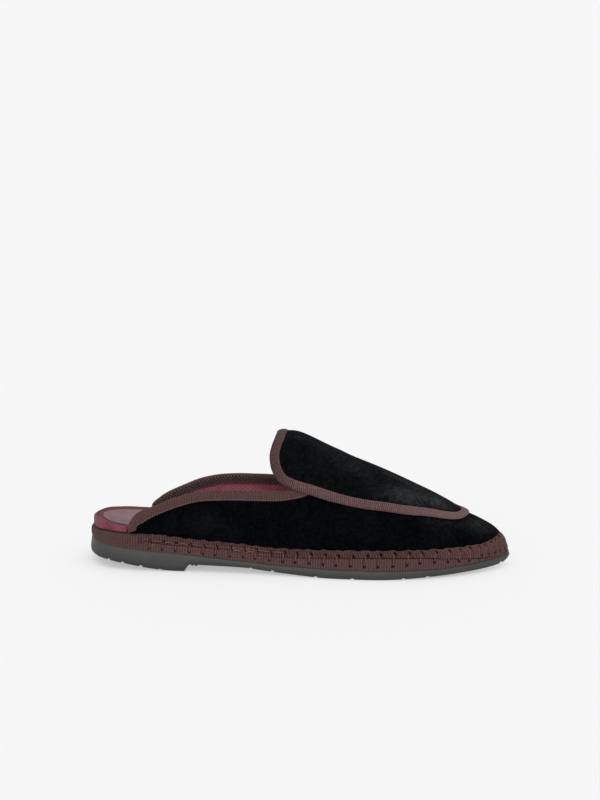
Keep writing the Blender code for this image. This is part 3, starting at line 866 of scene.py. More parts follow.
class Outline:
    """Closed edge of the sole: from the back of the heel by the outer side to the toe, and back."""

    FINE = 1601

    def __init__(self) -> None:
        """Trace the edge and its inward directions."""
        station = spread(0.0, LENGTH, self.FINE, 1.0, 1.0)
        lateral, medial = (np.column_stack((station, s.value * OUTLINE[s](station))) for s in Side)
        self.path = np.vstack((lateral, medial[-2::-1]))
        run = np.gradient(self.path, axis=0)
        run[0] = run[-1] = (0.0, -1.0)
        self.inward = unit(np.column_stack((-run[:, 1], run[:, 0])))
        self.run = lengths(self.path)
        self.toe = self.run[self.FINE - 1]

    def at(self, run: Array, inset: Array) -> Array:
        """Points in plan at lengths along the edge, drawn in by an inset."""
        edge, inward = (points_at(row, self.run, run) for row in (self.path, self.inward))
        return edge + inward * np.reshape(inset, (-1, 1))

    def station(self, run: Array) -> Array:
        """Station of the edge at lengths along it."""
        return np.interp(run, self.run, self.path[:, 0])

    def run_at(self, station: float, side: Side) -> float:
        """Length along the edge at a station on one side."""
        half = slice(self.FINE) if side is Side.LATERAL else slice(None, self.FINE - 2, -1)
        return float(np.interp(station, self.path[half, 0], self.run[half]))

    def run_near(self, spots: Array) -> Array:
        """Lengths along the edge of its points nearest to spots in plan."""
        gap = np.linalg.norm(self.path[None] - spots[:, None, :2], axis=2)
        return self.run[gap.argmin(axis=1)]

    def half(self, side: Side, stations: Array, inset: Array) -> Array:
        """Points in plan on one side at stations, drawn in by an inset, ending on the middle line.

        Args:
            side: Which side.
            stations: Stations.
            inset: How far it is drawn in.

        Returns:
            A point for each.
        """
        run = np.array([self.run_at(station, side) for station in stations])
        found = self.at(run, np.broadcast_to(inset, stations.shape))
        found[(0, -1), 1] = 0.0
        return found


OUTLINE_EDGE = Outline()


def closed_section(sections: Array, shade: Optional[Array] = None, run: Optional[Array] = None) -> Patch:
    """A sheet that goes right round a row of sections.

    Args:
        sections: Rows by columns of points.
        shade: Depth of shade at each, or none.
        run: Distance along the cloth of each row, or none to measure it.

    Returns:
        The sheet.
    """
    ring = np.concatenate((sections, sections[:, :1]), axis=1)
    if shade is not None:
        shade = np.concatenate((shade, shade[:, :1]), axis=1)
    weave = grid_weave(ring, shade)
    if run is not None:
        weave[:, :, 0] = run[:, None]
    return Patch(ring, weave)


def ribbed(run: Array, pitch: float, height: float) -> Array:
    """Height of a ribbon's ribs at lengths along it."""
    return height * np.sin(2.0 * np.pi * run / pitch)


def end_cap(section: Array) -> Patch:
    """A sheet that closes the end of a row of sections, drawn to its middle.

    Args:
        section: Points round the section.

    Returns:
        The sheet.
    """
    ring = np.concatenate((section, section[:1]))
    points = np.stack((ring, np.broadcast_to(section.mean(axis=0), ring.shape)), axis=1)
    return Patch(points, grid_weave(points))


@dataclass
class Outsole:
    """Moulded rubber sole with a low heel, slanted breast, arch, toe spring and cross lugs.

    Attributes:
        ground: Station and height of the tread.
        grooves: Station and depth of the cross grooves that cut its edge.
        groove: Width and wall of a groove.
        ribs: Stations of the two small ribs ahead of the breast.
        rib: Half-width, wall and height of one.
        rib_rows: Where rows lie about the middle of a rib.
        rows: Number of rows along the sole, up its side wall and across it.
        closest: Smallest distance between rows along it.
        foot_shade: Depth of shade at the foot of the side wall, and how fast it fades upwards.
        side: Share of the height and inset of the side wall.
        heel_side: The same at the heel, where the wall flares to the tread.
        breast: Stations of the foot and the top of the slanted breast.
        flare_end: Stations over which the heel's side wall turns into the forepart's.
        fine: Pitch, depth and margin of the fine tread.
        lined: Height below which, and station before which, the fine tread is cut.
    """

    ground: Curve = Curve((
        (0, 5.4), (12, 4.9), (25, 3.6), (38, 1.6), (50, 0.35), (58, 0), (62.4, 0),
        (65.6, 4.2), (76, 4), (99, 3.5), (112, 2.3), (125, 1.3), (140, 0.4), (152, 0),
        (190, 0), (212, 0.6), (246, 1.9), (257, 2.7), (262, 3.5), (LENGTH, 5)))
    grooves: tuple[Pair, ...] = (
        (14, 0.85), (23.5, 0.85), (35.2, 0.95), (47.3, 0.4), (104.3, 0.45), (118, 0.85), (145, 0.6),
        (168, 0.6), (200, 0.6), (215, 0.55), (260.6, 0.8))
    groove: Pair = (2.0, 0.5)
    ribs: tuple[float, ...] = (67.7, 70)
    rib: Triple = (0.7, 0.4, 0.9)
    rib_rows: Four = (-1.0, -0.6, 0.6, 1.0)
    rows: tuple[int, int, int] = (240, 15, 25)
    closest: float = 0.12
    foot_shade: Pair = (0.85, 1.6)
    side: Curve = Curve(((0, 1.9), (0.1, 1), (0.24, 0.5), (0.58, 0), (0.88, 0.35), (1, 1.1)))
    heel_side: Curve = Curve(((0, 1.3), (0.06, 0.5), (0.14, 0.12), (0.26, 0), (0.6, 0.4), (0.9, 0.9),
                              (1.0, 1.4)))
    breast: Pair = (62.4, 65.6)
    flare_end: Pair = (60.0, 67.0)
    fine: Triple = (3.4, 0.7, 0.16)
    lined: Pair = (0.9, 62.0)

    def tread(self, station: Array) -> Array:
        """Height of the tread's edge, with its grooves and ribs.

        Args:
            station: Stations.

        Returns:
            A height for each.
        """
        width, wall = self.groove
        cut = np.zeros_like(station)
        for middle, depth in self.grooves:
            edge = width / 2.0 - np.abs(station - middle)
            cut = np.maximum(cut, depth * np.clip(edge / wall + 0.5, 0.0, 1.0))
        half, wall, height = self.rib
        for middle in self.ribs:
            cut -= height * np.clip((half - np.abs(station - middle)) / wall + 0.5, 0.0, 1.0)
        return self.ground(station) + cut

    def stations(self) -> Array:
        """Rows along the sole, with rows at the edges of grooves, ribs and breast.

        Returns:
            The stations in order.
        """
        rows = [spread(0.0, LENGTH, self.rows[0], 0.9, 0.9), np.array(self.breast)]
        width, wall = self.groove
        for middle, _ in self.grooves:
            for reach in (width + wall, width - wall):
                rows.append(np.array((middle - reach / 2.0, middle + reach / 2.0)))
        for middle in self.ribs:
            rows.append(middle + np.array(self.rib_rows))
        found = np.unique(np.concatenate(rows).round(2))
        return found[np.concatenate(([True], np.diff(found) > self.closest))]

    def build(self, finish: Material) -> None:
        """Make the sole.

        Args:
            finish: Its rubber.
        """
        stations = self.stations()
        low, top = self.tread(stations), RUBBER_TOP(stations)
        patches, edges = [], {}
        for side in Side:
            rings = []
            shares = np.linspace(0.0, 1.0, self.rows[1])
            for share in shares:
                heel, fore = (float(curve(np.array(share))) for curve in (self.heel_side, self.side))
                inset = heel + (fore - heel) * ease(*self.flare_end, stations)
                plan = OUTLINE_EDGE.half(side, stations, inset)
                rings.append(np.column_stack((plan, low + (top - low) * share)))
            wall = np.stack(rings, axis=1)
            shade = self.foot_shade[0] * (1.0 - shares) ** self.foot_shade[1]
            patches.append(Patch(wall, grid_weave(wall, np.broadcast_to(shade, wall.shape[:2]))))
            edges[side] = (rings[0], rings[-1])
        across = np.linspace(0.0, 1.0, self.rows[2])[None, :, None]
        for level in (0, 1):
            a, b = edges[Side.LATERAL][level], edges[Side.MEDIAL][level]
            sheet = a[:, None] * (1.0 - across) + b[:, None] * across
            shade = np.zeros(sheet.shape[:2])
            if level == 0:
                pitch, depth, margin = self.fine
                inner = ease(0.0, margin, across[0, :, 0]) * ease(0.0, margin, 1.0 - across[0, :, 0])
                lines = np.clip(np.cos(2.0 * np.pi * stations / pitch) * 2.0, 0.0, 1.0)
                flat = (self.ground(stations) < self.lined[0]) | (stations < self.lined[1])
                cut = (lines * flat)[:, None] * inner[None]
                sheet[:, :, 2] += depth * cut
                shade = 0.5 * cut
            patches.append(Patch(sheet, grid_weave(sheet, shade)))
        make_piece("sole_rubber", patches, [finish], ["outsole"])


class Cell(Enum):
    """How the thread lies between two neighbouring stitches.

    Each strand has its own row: whether it starts, and ends, at the upper hole or else halfway down the
    stitch, how far it stands out, how far its middle rises, and its share of the thread's radius.
    """

    PAIR = ((True, True, 1.0, 0.3, 0.85), (False, False, 1.0, 0.2, 0.85))
    ARCH = ((False, False, 1.3, 2.7, 1.0), (False, False, 1.0, -0.2, 0.7))
    CROSS = ((True, True, 1.0, 0.3, 0.85), (True, False, 1.2, 0.0, 0.9),
             (False, True, 1.2, 0.0, 0.9), (False, False, 1.0, -0.6, 0.8))
    LINE = ((True, True, 1.0, 0.3, 0.85),)


@dataclass
class Rand:
    """Stitched ribbon strip round the foot of the upper, and the ribbon-wrapped band under it.

    Attributes:
        seat: Offset of the strip's inner face from the last.
        face: Share of the strip's height and offset of its outer face.
        toe_face: Stations over which the strip draws in to the tip, by how much, and how far its top sinks.
        scallop: How far the strip's top edge rises at a stitch, and falls between two.
        ripples: Height, turns and start of the uneven waves along that edge.
        pitch: Distance between stitches along the sides and at the toe.
        toe_run: Lengths before the tip between which the stitches draw together.
        first: Length before the tip of the outer side's first stitch.
        sway: How far stitches stray from an even spacing, and how quickly that changes along the strip.
        clear: Length at the strip's ends that takes no stitch.
        top_hole: Station and share of the strip's height at a stitch's upper hole.
        low_hole: Station and share of the band's height at its lower hole.
        toe_hole: Stations over which the lower holes climb onto the strip, and their share of its height.
        lean: How far the lower hole is behind the upper one, and the length before the toe where that fades.
        hole: Width and depth of a hole's dent.
        furrow: Width and depth of the furrow that a stitch pulls.
        laced: Stations at which the thread between the stitches ends.
        dark: Depth of shade beside a stitch and under the thread between stitches.
        thread: Radius of the thread, how far it stands out, and how far its ends sink.
        rib: Pitch and height of the ribbon's ribs.
        step: Spacing of rows along strip and band.
        band_inset: Inset of the band's wall, and of its inside, from the sole's edge.
        band_gap: Gaps of the band's wall to the rubber and under the strip.
        heel_dark: Stations over which the band turns darker to the heel, and by how much.
        tip_reach: Lengths before the last's end between which a contour's tip is looked for.
        start: Station of the strip's ends.
        end_run: Length over which the strip thins out to its ends.
        seam_gap: Gap over the seam.
        toe_light: Stations over which the strip turns lighter to the toe, and by how much.
        tail: How far the thread's end reaches behind the first stitch, as a share of the pitch.
        cells: How the thread lies from stitch to stitch, from the back of the strip.
    """

    seat: float = 2.1
    face: Curve = Curve(((0, 3.3), (0.08, 3.55), (0.5, 3.75), (0.86, 3.45), (0.95, 3.15), (1, 2.7)))
    toe_face: Four = (238.0, 257.0, 0.8, 0.9)
    scallop: float = 0.252
    ripples: tuple[Triple, ...] = ((0.105, 1.31, 0.7), (0.147, 0.47, 0.0))
    pitch: Pair = (8.55, 4.2)
    toe_run: Pair = (4.0, 44.0)
    first: float = 4.5
    sway: Pair = (0.35, 2.7)
    clear: float = 1.5
    top_hole: Curve = Curve((
        (34, 0.28), (60, 0.28), (80, 0.35), (105, 0.55), (145, 0.53), (158, 0.35), (170, 0.25),
        (184, 0.48), (205, 0.66), (224, 0.7), (232, 0.76), (244, 0.82), (LAST_END, 0.84)))
    low_hole: Curve = Curve((
        (0, 0.36), (80, 0.36), (105, 0.5), (145, 0.5), (160, 0.4), (185, 0.36), (201, 0.5),
        (212, 0.66), (226, 0.7), (236, 0.74), (250, 0.5), (LENGTH, 0.5)))
    toe_hole: Triple = (238.0, 246.0, 0.2)
    lean: Pair = (1.0, 30.0)
    hole: Pair = (0.85, 1.1)
    furrow: Pair = (1.3, 0.28)
    laced: Pair = (116.0, 128.0)
    dark: Pair = (0.5, 0.55)
    thread: Triple = (0.26, 0.14, 0.9)
    rib: Pair = (1.65, 0.09)
    step: float = 0.27
    band_inset: Pair = (0.8, 9.0)
    band_gap: Pair = (0.05, 0.12)
    heel_dark: Triple = (42.0, 26.0, 0.12)
    tip_reach: Pair = (14.0, 0.05)
    start: float = RAND_START - LEDGE_STEP
    end_run: float = 0.3
    seam_gap: float = 0.05
    toe_light: Triple = (195.0, 235.0, 0.7)
    tail: float = 0.65
    cells: tuple[Cell, ...] = (Cell.PAIR, Cell.ARCH, Cell.ARCH, Cell.PAIR, Cell.PAIR, Cell.PAIR, Cell.CROSS,
                               Cell.CROSS, Cell.PAIR, Cell.LINE)

    def height(self, station: Array, level: float | Curve) -> Array:
        """Height of the strip at a share of its height, or at a share that changes along it."""
        foot = SEAM(station) + self.seam_gap
        return foot + (BAND(station) - foot) * (level(station) if isinstance(level, Curve) else level)

    def contour(self, level: float | Curve, count: int) -> tuple[Array, Array, Array]:
        """The last at one level of the strip, from the outer side's back end round the toe.

        Args:
            level: Share of the strip's height, or a curve of it along the strip.
            count: Number of evenly spaced points.

        Returns:
            Station, share of the half-section, and length along the contour.
        """
        probe = np.linspace(*(LAST_END - before for before in self.tip_reach), 400)
        crest = LAST.base(probe) + LAST.rise(probe)
        over = crest <= self.height(probe, level)
        tip = probe[np.argmax(over)] if over.any() else probe[-1]
        station = spread(self.start, tip, 360, 0.0, 1.0)
        sides = []
        for side in Side:
            share = side.value * LAST.share_at(station, side, self.height(station, level))
            share[-1] = 0.0
            sides.append(np.column_stack((station, share)))
        spots = np.vstack((sides[0], sides[1][-2::-1]))
        run = lengths(LAST.point(spots[:, 0], spots[:, 1]))
        at = np.linspace(0.0, run[-1], count)
        return np.interp(at, run, spots[:, 0]), np.interp(at, run, spots[:, 1]), at

    def stitches(self, total: float, toe: float) -> Array:
        """Lengths along the strip at which it is stitched, drawn together at the toe.

        Args:
            total: Length of the strip.
            toe: Length along it at the tip.

        Returns:
            The lengths in order.
        """
        marks = []
        for way, gone, room in ((-1.0, self.first, toe), (1.0, self.pitch[1] - self.first, total - toe)):
            while gone < room - self.clear:
                marks.append(toe + way * gone + self.sway[0] * np.sin(self.sway[1] * gone))
                gone += self.pitch[1] + (self.pitch[0] - self.pitch[1]) * float(ease(*self.toe_run, gone))
        return np.sort(np.array(marks))

    def dents(self, run: Array, rise: Array, marks: Array, level: Array, reach: Array) -> Array:
        """Depth, 0 to 1, of the dents at holes over a sheet's lengths and heights.

        Args:
            run: Length along each row of the sheet.
            rise: Height of each column, as a share.
            marks: Lengths at which there is a hole.
            level: Share of the height at the holes, along each row.
            reach: Height of the sheet in millimetres, along each row.

        Returns:
            Rows by columns of depth.
        """
        along = (nearest(run, marks)[:, None] / self.hole[0]) ** 2
        up = ((rise[None] - level[:, None]) * reach[:, None] / (self.hole[0] * 1.1)) ** 2
        return np.exp(-(along + up) ** 1.5) * self.firmness(run, marks)[:, None]

    def firmness(self, run: Array, marks: Array) -> Array:
        """How hard the nearest stitch pulls, 0 to 1: less where stitches lie close."""
        wide = ease(self.pitch[1] - 0.5, self.pitch[0], np.abs(np.gradient(marks)))
        return np.interp(run, marks, 0.75 + 0.25 * wide)

    def relief(self, run: Array, marks: Array, pulled: Array, dent: Array) -> Array:
        """Height of ribs, furrows and holes over a sheet.

        Args:
            run: Length along each row of the sheet.
            marks: Lengths at which it is stitched.
            pulled: How far a stitch pulls each place in, 0 to 1, in rows by columns.
            dent: Depth of the holes' dents, 0 to 1.

        Returns:
            Rows by columns of height.
        """
        pull = self.furrow[1] * bell(nearest(run, marks), 0.0, self.furrow[0]) * self.firmness(run, marks)
        ribs = ribbed(run, *self.rib)
        return ribs[:, None] - pull[:, None] * pulled - self.hole[1] * dent

    def darkened(self, run: Array, marks: Array, pulled: Array, dent: Array) -> Array:
        """Depth of shade in holes and beside stitches, for the same sheet as its relief."""
        beside = self.dark[0] * bell(nearest(run, marks), 0.0, 0.8) * self.firmness(run, marks)
        return np.clip(1.6 * dent - 0.1, 0.0, 1.0) + beside[:, None] * pulled

    def build_strip(self, finish: Material) -> tuple[Array, Array]:
        """Make the strip.

        Args:
            finish: Its ribbon.

        Returns:
            The points of its stitches' upper holes, and the directions out of them.
        """
        total = self.contour(0.5, 2)[2][-1]
        count = int(total / self.step)
        station, _, run = self.contour(0.5, count)
        marks = self.stitches(total, float(run[np.argmax(station)]))
        rise = np.concatenate((np.linspace(0.0, 0.86, 17), (0.91, 0.95, 0.98, 1.0)))
        hole = self.top_hole(station)
        tall, climbed = BAND(station) - SEAM(station), ease(*self.toe_hole[:2], station)
        foot = self.dents(run, rise, marks, np.full(count, self.toe_hole[2]), tall) * climbed[:, None]
        dent = np.maximum(self.dents(run, rise, marks, hole, tall), foot)
        pulled = ease(hole[:, None] + 0.2, hole[:, None], rise[None])
        relief = self.relief(run, marks, pulled, dent)
        rear, lines = 1.0 - ease(*self.laced, station), bell(rise[None] - hole[:, None], -0.06, 0.1)
        broken = 0.5 + 0.5 * np.sin(2.3 * run) * np.sin(0.83 * run + 1.0)
        laced = (rear * broken)[:, None] * lines
        relief -= self.furrow[1] * laced
        full = ease(-0.3 * self.end_run, self.end_run, np.minimum(run, total - run))
        phase = np.interp(run, marks, np.arange(len(marks)))
        ripple = self.scallop * np.cos(2.0 * np.pi * phase)
        for height, turn, begin in self.ripples:
            ripple += height * np.cos(turn * run + begin)
        first, last, draw, sink = self.toe_face
        sheet = np.zeros((count, len(rise) + 2, 3))
        for j, level in enumerate((0.0, *rise, 1.0)):
            station, share, _ = self.contour(level, count)
            toe = ease(first, last, station)
            out = np.full(count, self.seat)
            if 0 < j <= len(rise):
                proud = float(self.face(np.array(level))) - self.seat
                out += (proud * (1.0 - draw * toe * level) + relief[:, j - 1]) * full
            sheet[:, j] = LAST.offset(station, share, out)
            sheet[:, j, 2] += (ripple - sink * toe) * level ** 3
            sheet[:, j, 2] += np.minimum(self.height(station, level) - LAST.base(station), 0.0)
            if self.height(LAST_END, level) < LAST.base(LAST_END):
                self.bridge(sheet[:, j], int(np.argmax(station)))
        shade = np.zeros(sheet.shape[:2])
        light = self.toe_light[2] * ease(*self.toe_light[:2], self.contour(0.5, count)[0])
        shade[:, 1:-1] = self.darkened(run, marks, pulled, dent) + self.dark[1] * laced - light[:, None]
        patches = [closed_section(sheet, shade, run), end_cap(sheet[0]), end_cap(sheet[-1])]
        make_piece("rand_strip", patches, [finish], ["rand"])
        return self.upper_holes(run, marks, count)

    @staticmethod
    def bridge(row: Array, middle: int, reach: int = 7, bulge: float = 0.7) -> None:
        """Draw a row of points across the tip in a low arc, where the strip hangs below the last.

        Args:
            row: The row, changed in place.
            middle: Number of its point at the tip.
            reach: How many points are drawn on each side.
            bulge: Height of the arc.
        """
        t = np.linspace(0.0, 1.0, 2 * reach + 1)[:, None]
        row[middle - reach:middle + reach + 1] = row[middle - reach] * (1.0 - t) + row[middle + reach] * t
        row[middle - reach:middle + reach + 1, 0] += bulge * 4.0 * (t * (1.0 - t))[:, 0]

    def upper_holes(self, run: Array, marks: Array, count: int) -> tuple[Array, Array]:
        """Points on the strip's face at the upper holes, and the level directions out of them.

        Args:
            run: Length along each row of the strip.
            marks: Lengths at which it is stitched.
            count: Number of rows.

        Returns:
            A point and a direction for each stitch.
        """
        station, share, _ = self.contour(self.top_hole, count)
        at = np.interp(marks, run, station), np.interp(marks, run, share)
        out = unit(LAST.normal(*at) * (1.0, 1.0, 0.0))
        level = self.top_hole(at[0])
        drawn = 1.0 - self.toe_face[2] * level * ease(*self.toe_face[:2], at[0])
        proud = (self.face(level) - self.seat) * drawn
        return LAST.offset(*at, self.seat + proud), out

    def band_ends(self, station: Array) -> tuple[Array, Array]:
        """Heights of the foot and the lip of the band's wall."""
        return RUBBER_TOP(station) + self.band_gap[0], lip_height(station) - self.band_gap[1]

    def build_band(self, finish: Material, holes: Array) -> Array:
        """Make the ribbon-wrapped band that runs all round under the strip.

        Args:
            finish: Its ribbon.
            holes: Points of the stitches' upper holes.

        Returns:
            The points of the stitches' lower holes.
        """
        edge = OUTLINE_EDGE
        count = int(edge.run[-1] / self.step)
        run = np.linspace(0.0, edge.run[-1], count)
        station = edge.station(run)
        low, lip = self.band_ends(station)
        marks = edge.run_near(holes)
        lean, fade = self.lean
        marks += np.where(marks < edge.toe, -lean, lean) * ease(LENGTH, LENGTH - fade, holes[:, 0])
        rise = np.concatenate(((0.0, 0.03, 0.08), np.linspace(0.14, 0.88, 15), (0.94, 0.98, 1.0)))
        hole = self.low_hole(station)
        kept = (0.5 + 0.5 * ease(*self.laced, station)) * (1.0 - ease(*self.toe_hole[:2], station))
        dent = self.dents(run, rise, marks, hole, lip - low) * kept[:, None]
        pulled = ease(hole[:, None] - 0.2, hole[:, None], rise[None])
        relief = self.relief(run, marks, pulled, dent)
        wall, deep = self.band_inset
        foot, head = np.clip(1.0 - rise / 0.1, 0.0, 1.0), np.clip((rise - 0.88) / 0.12, 0.0, 1.0)
        profile = wall + 0.25 * foot ** 2 + 0.35 * head ** 2 - 0.25 * np.sin(np.pi * rise)
        sheet = np.zeros((count, len(rise) + 2, 3))
        for j, level in enumerate(rise):
            plan = edge.at(run, profile[j] - relief[:, j])
            sheet[:, j + 1] = np.column_stack((plan, low + (lip - low) * level))
        sheet[:, 0] = np.column_stack((edge.at(run, np.full(count, deep)), low))
        sheet[:, -1] = np.column_stack((edge.at(run, np.full(count, deep)), lip))
        sheet[-1] = sheet[0]
        shade = np.zeros(sheet.shape[:2])
        heel = self.heel_dark[2] * ease(*self.heel_dark[:2], station)
        shade[:, 1:-1] = self.darkened(run, marks, pulled, dent) + heel[:, None]
        make_piece("band_wrap", [closed_section(sheet, shade, run)], [finish], ["midsole"])
        at = edge.at(marks, np.full(len(marks), wall - 0.2))
        spot = edge.station(marks)
        low, lip = self.band_ends(spot)
        return np.column_stack((at, low + (lip - low) * self.low_hole(spot)))

    def strand(self, start: Array, end: Array, out: Array, rise: float = 0.0, thick: float = 1.0) -> Patch:
        """A thread from hole to hole over the ribbon.

        Args:
            start: Point of one hole.
            end: Point of the other.
            out: Direction out of the ribbon.
            rise: How far its middle arches up.
            thick: Its radius as a share of the thread's.

        Returns:
            The sheet of the thread.
        """
        radius, proud, sunk = self.thread
        t = np.linspace(0.0, 1.0, 17)
        arch = np.minimum(1.0, np.sin(np.pi * t) * 1.8)[:, None]
        path = start * (1.0 - t)[:, None] + end * t[:, None] + out * (arch * (proud + sunk) - sunk)
        path[:, 2] += rise * np.sin(np.pi * t) ** 0.6
        taper = radius * thick * np.minimum(1.0, 5.0 * np.minimum(t, 1.0 - t) + 0.05) ** 0.5
        return tube(path, taper)

    def build_threads(self, finish: Material, upper: Array, lower: Array, out: Array) -> None:
        """Make the stitches that hold strip and band together.

        Args:
            finish: Their thread.
            upper: Points of the upper holes.
            lower: Points of the lower holes.
            out: Directions out of the upper holes.
        """
        apart = np.linalg.norm(np.gradient(upper, axis=0), axis=1)
        close = ease(self.pitch[0] - 1.0, self.pitch[1] + 0.5, apart)
        reach = 1.0 - 0.33 * ease(*self.toe_hole[:2], upper[:, 0])
        foot = upper + (lower - upper) * reach[:, None]
        half = 0.55 * upper + 0.45 * lower
        patches = [self.strand(*ends, 0.0, 1.0 - 0.25 * c) for *ends, c in zip(upper, foot, out, close)]
        for order in (np.arange(len(upper)), np.arange(len(upper))[::-1]):
            k, n = order[:2]
            room = (upper[k, 0] - self.start - 0.9) / self.pitch[0]
            end = upper[k] + (upper[k] - upper[n]) * float(np.clip(room, 0.1, self.tail))
            patches.append(self.strand(upper[k], end, out[k], 0.9, 0.85))
            patches.append(self.strand(half[k], end, out[k], -0.3, 0.85))
            for cell, k, n in zip(self.cells, order[:-1], order[1:]):
                way = (out[k] + out[n]) / 2.0
                for starts, ends, proud, rise, thick in cell.value:
                    start, end = (upper if starts else half)[k], (upper if ends else half)[n]
                    patches.append(self.strand(start, end, way * proud, rise, thick))
        make_piece("rand_thread", patches, [finish])


def drawn_in(edge: Array, side: Side, inset: float) -> Array:
    """An edge in plan, from heel to toe on one side, drawn towards the middle line.

    Args:
        edge: Points of the edge.
        side: Which side.
        inset: How far it is drawn in.

    Returns:
        The points.
    """
    run = np.gradient(edge, axis=0)
    run[0], run[-1] = (0.0, side.value), (0.0, -side.value)
    found = edge + unit(side.value * np.column_stack((run[:, 1], -run[:, 0]))) * inset
    found[(0, -1), 1] = 0.0
    return found


def pillow(edges: dict[Side, Array], profile: Sequence[tuple[float, Array]],
           crown: Callable[[Array, Array], Array], shade: Callable[[float], float]) -> list[Patch]:
    """A flat closed form with a moulded edge: two side walls, a bottom and a crowned top.

    Args:
        edges: Edge in plan of each side, from heel to toe.
        profile: Inset and height along the edge, from the bottom up.
        crown: Height added to the top at stations and shares across.
        shade: Depth of shade at an inset from the edge.

    Returns:
        The sheets.
    """
    patches, rims = [], {}
    for side, edge in edges.items():
        rings = [np.column_stack((drawn_in(edge, side, inset), height)) for inset, height in profile]
        wall = np.stack(rings, axis=1)
        dark = np.array([shade(inset) for inset, _ in profile])
        patches.append(Patch(wall, grid_weave(wall, np.broadcast_to(dark, wall.shape[:2]))))
        rims[side] = (rings[0], rings[-1])
    share = np.sin(np.linspace(-0.5, 0.5, 29) * np.pi) * 0.5 + 0.5
    for level in (0, 1):
        a, b = rims[Side.LATERAL][level], rims[Side.MEDIAL][level]
        sheet = a[:, None] * (1.0 - share)[None, :, None] + b[:, None] * share[None, :, None]
        across = np.minimum(np.abs(sheet[:, :, 1] - a[:, None, 1]), np.abs(b[:, None, 1] - sheet[:, :, 1]))
        along = np.minimum(sheet[:, :, 0] - a[0, 0], a[-1, 0] - sheet[:, :, 0])
        dark = np.vectorize(shade)(profile[-1][0] + np.minimum(across, along))
        if level == 1:
            sheet[:, :, 2] += crown(sheet[:, :, 0], share[None])
        weave = grid_weave(sheet, dark)
        weave[:, :, 1] = sheet[:, :, 1]
        patches.append(Patch(sheet, weave))
    return patches


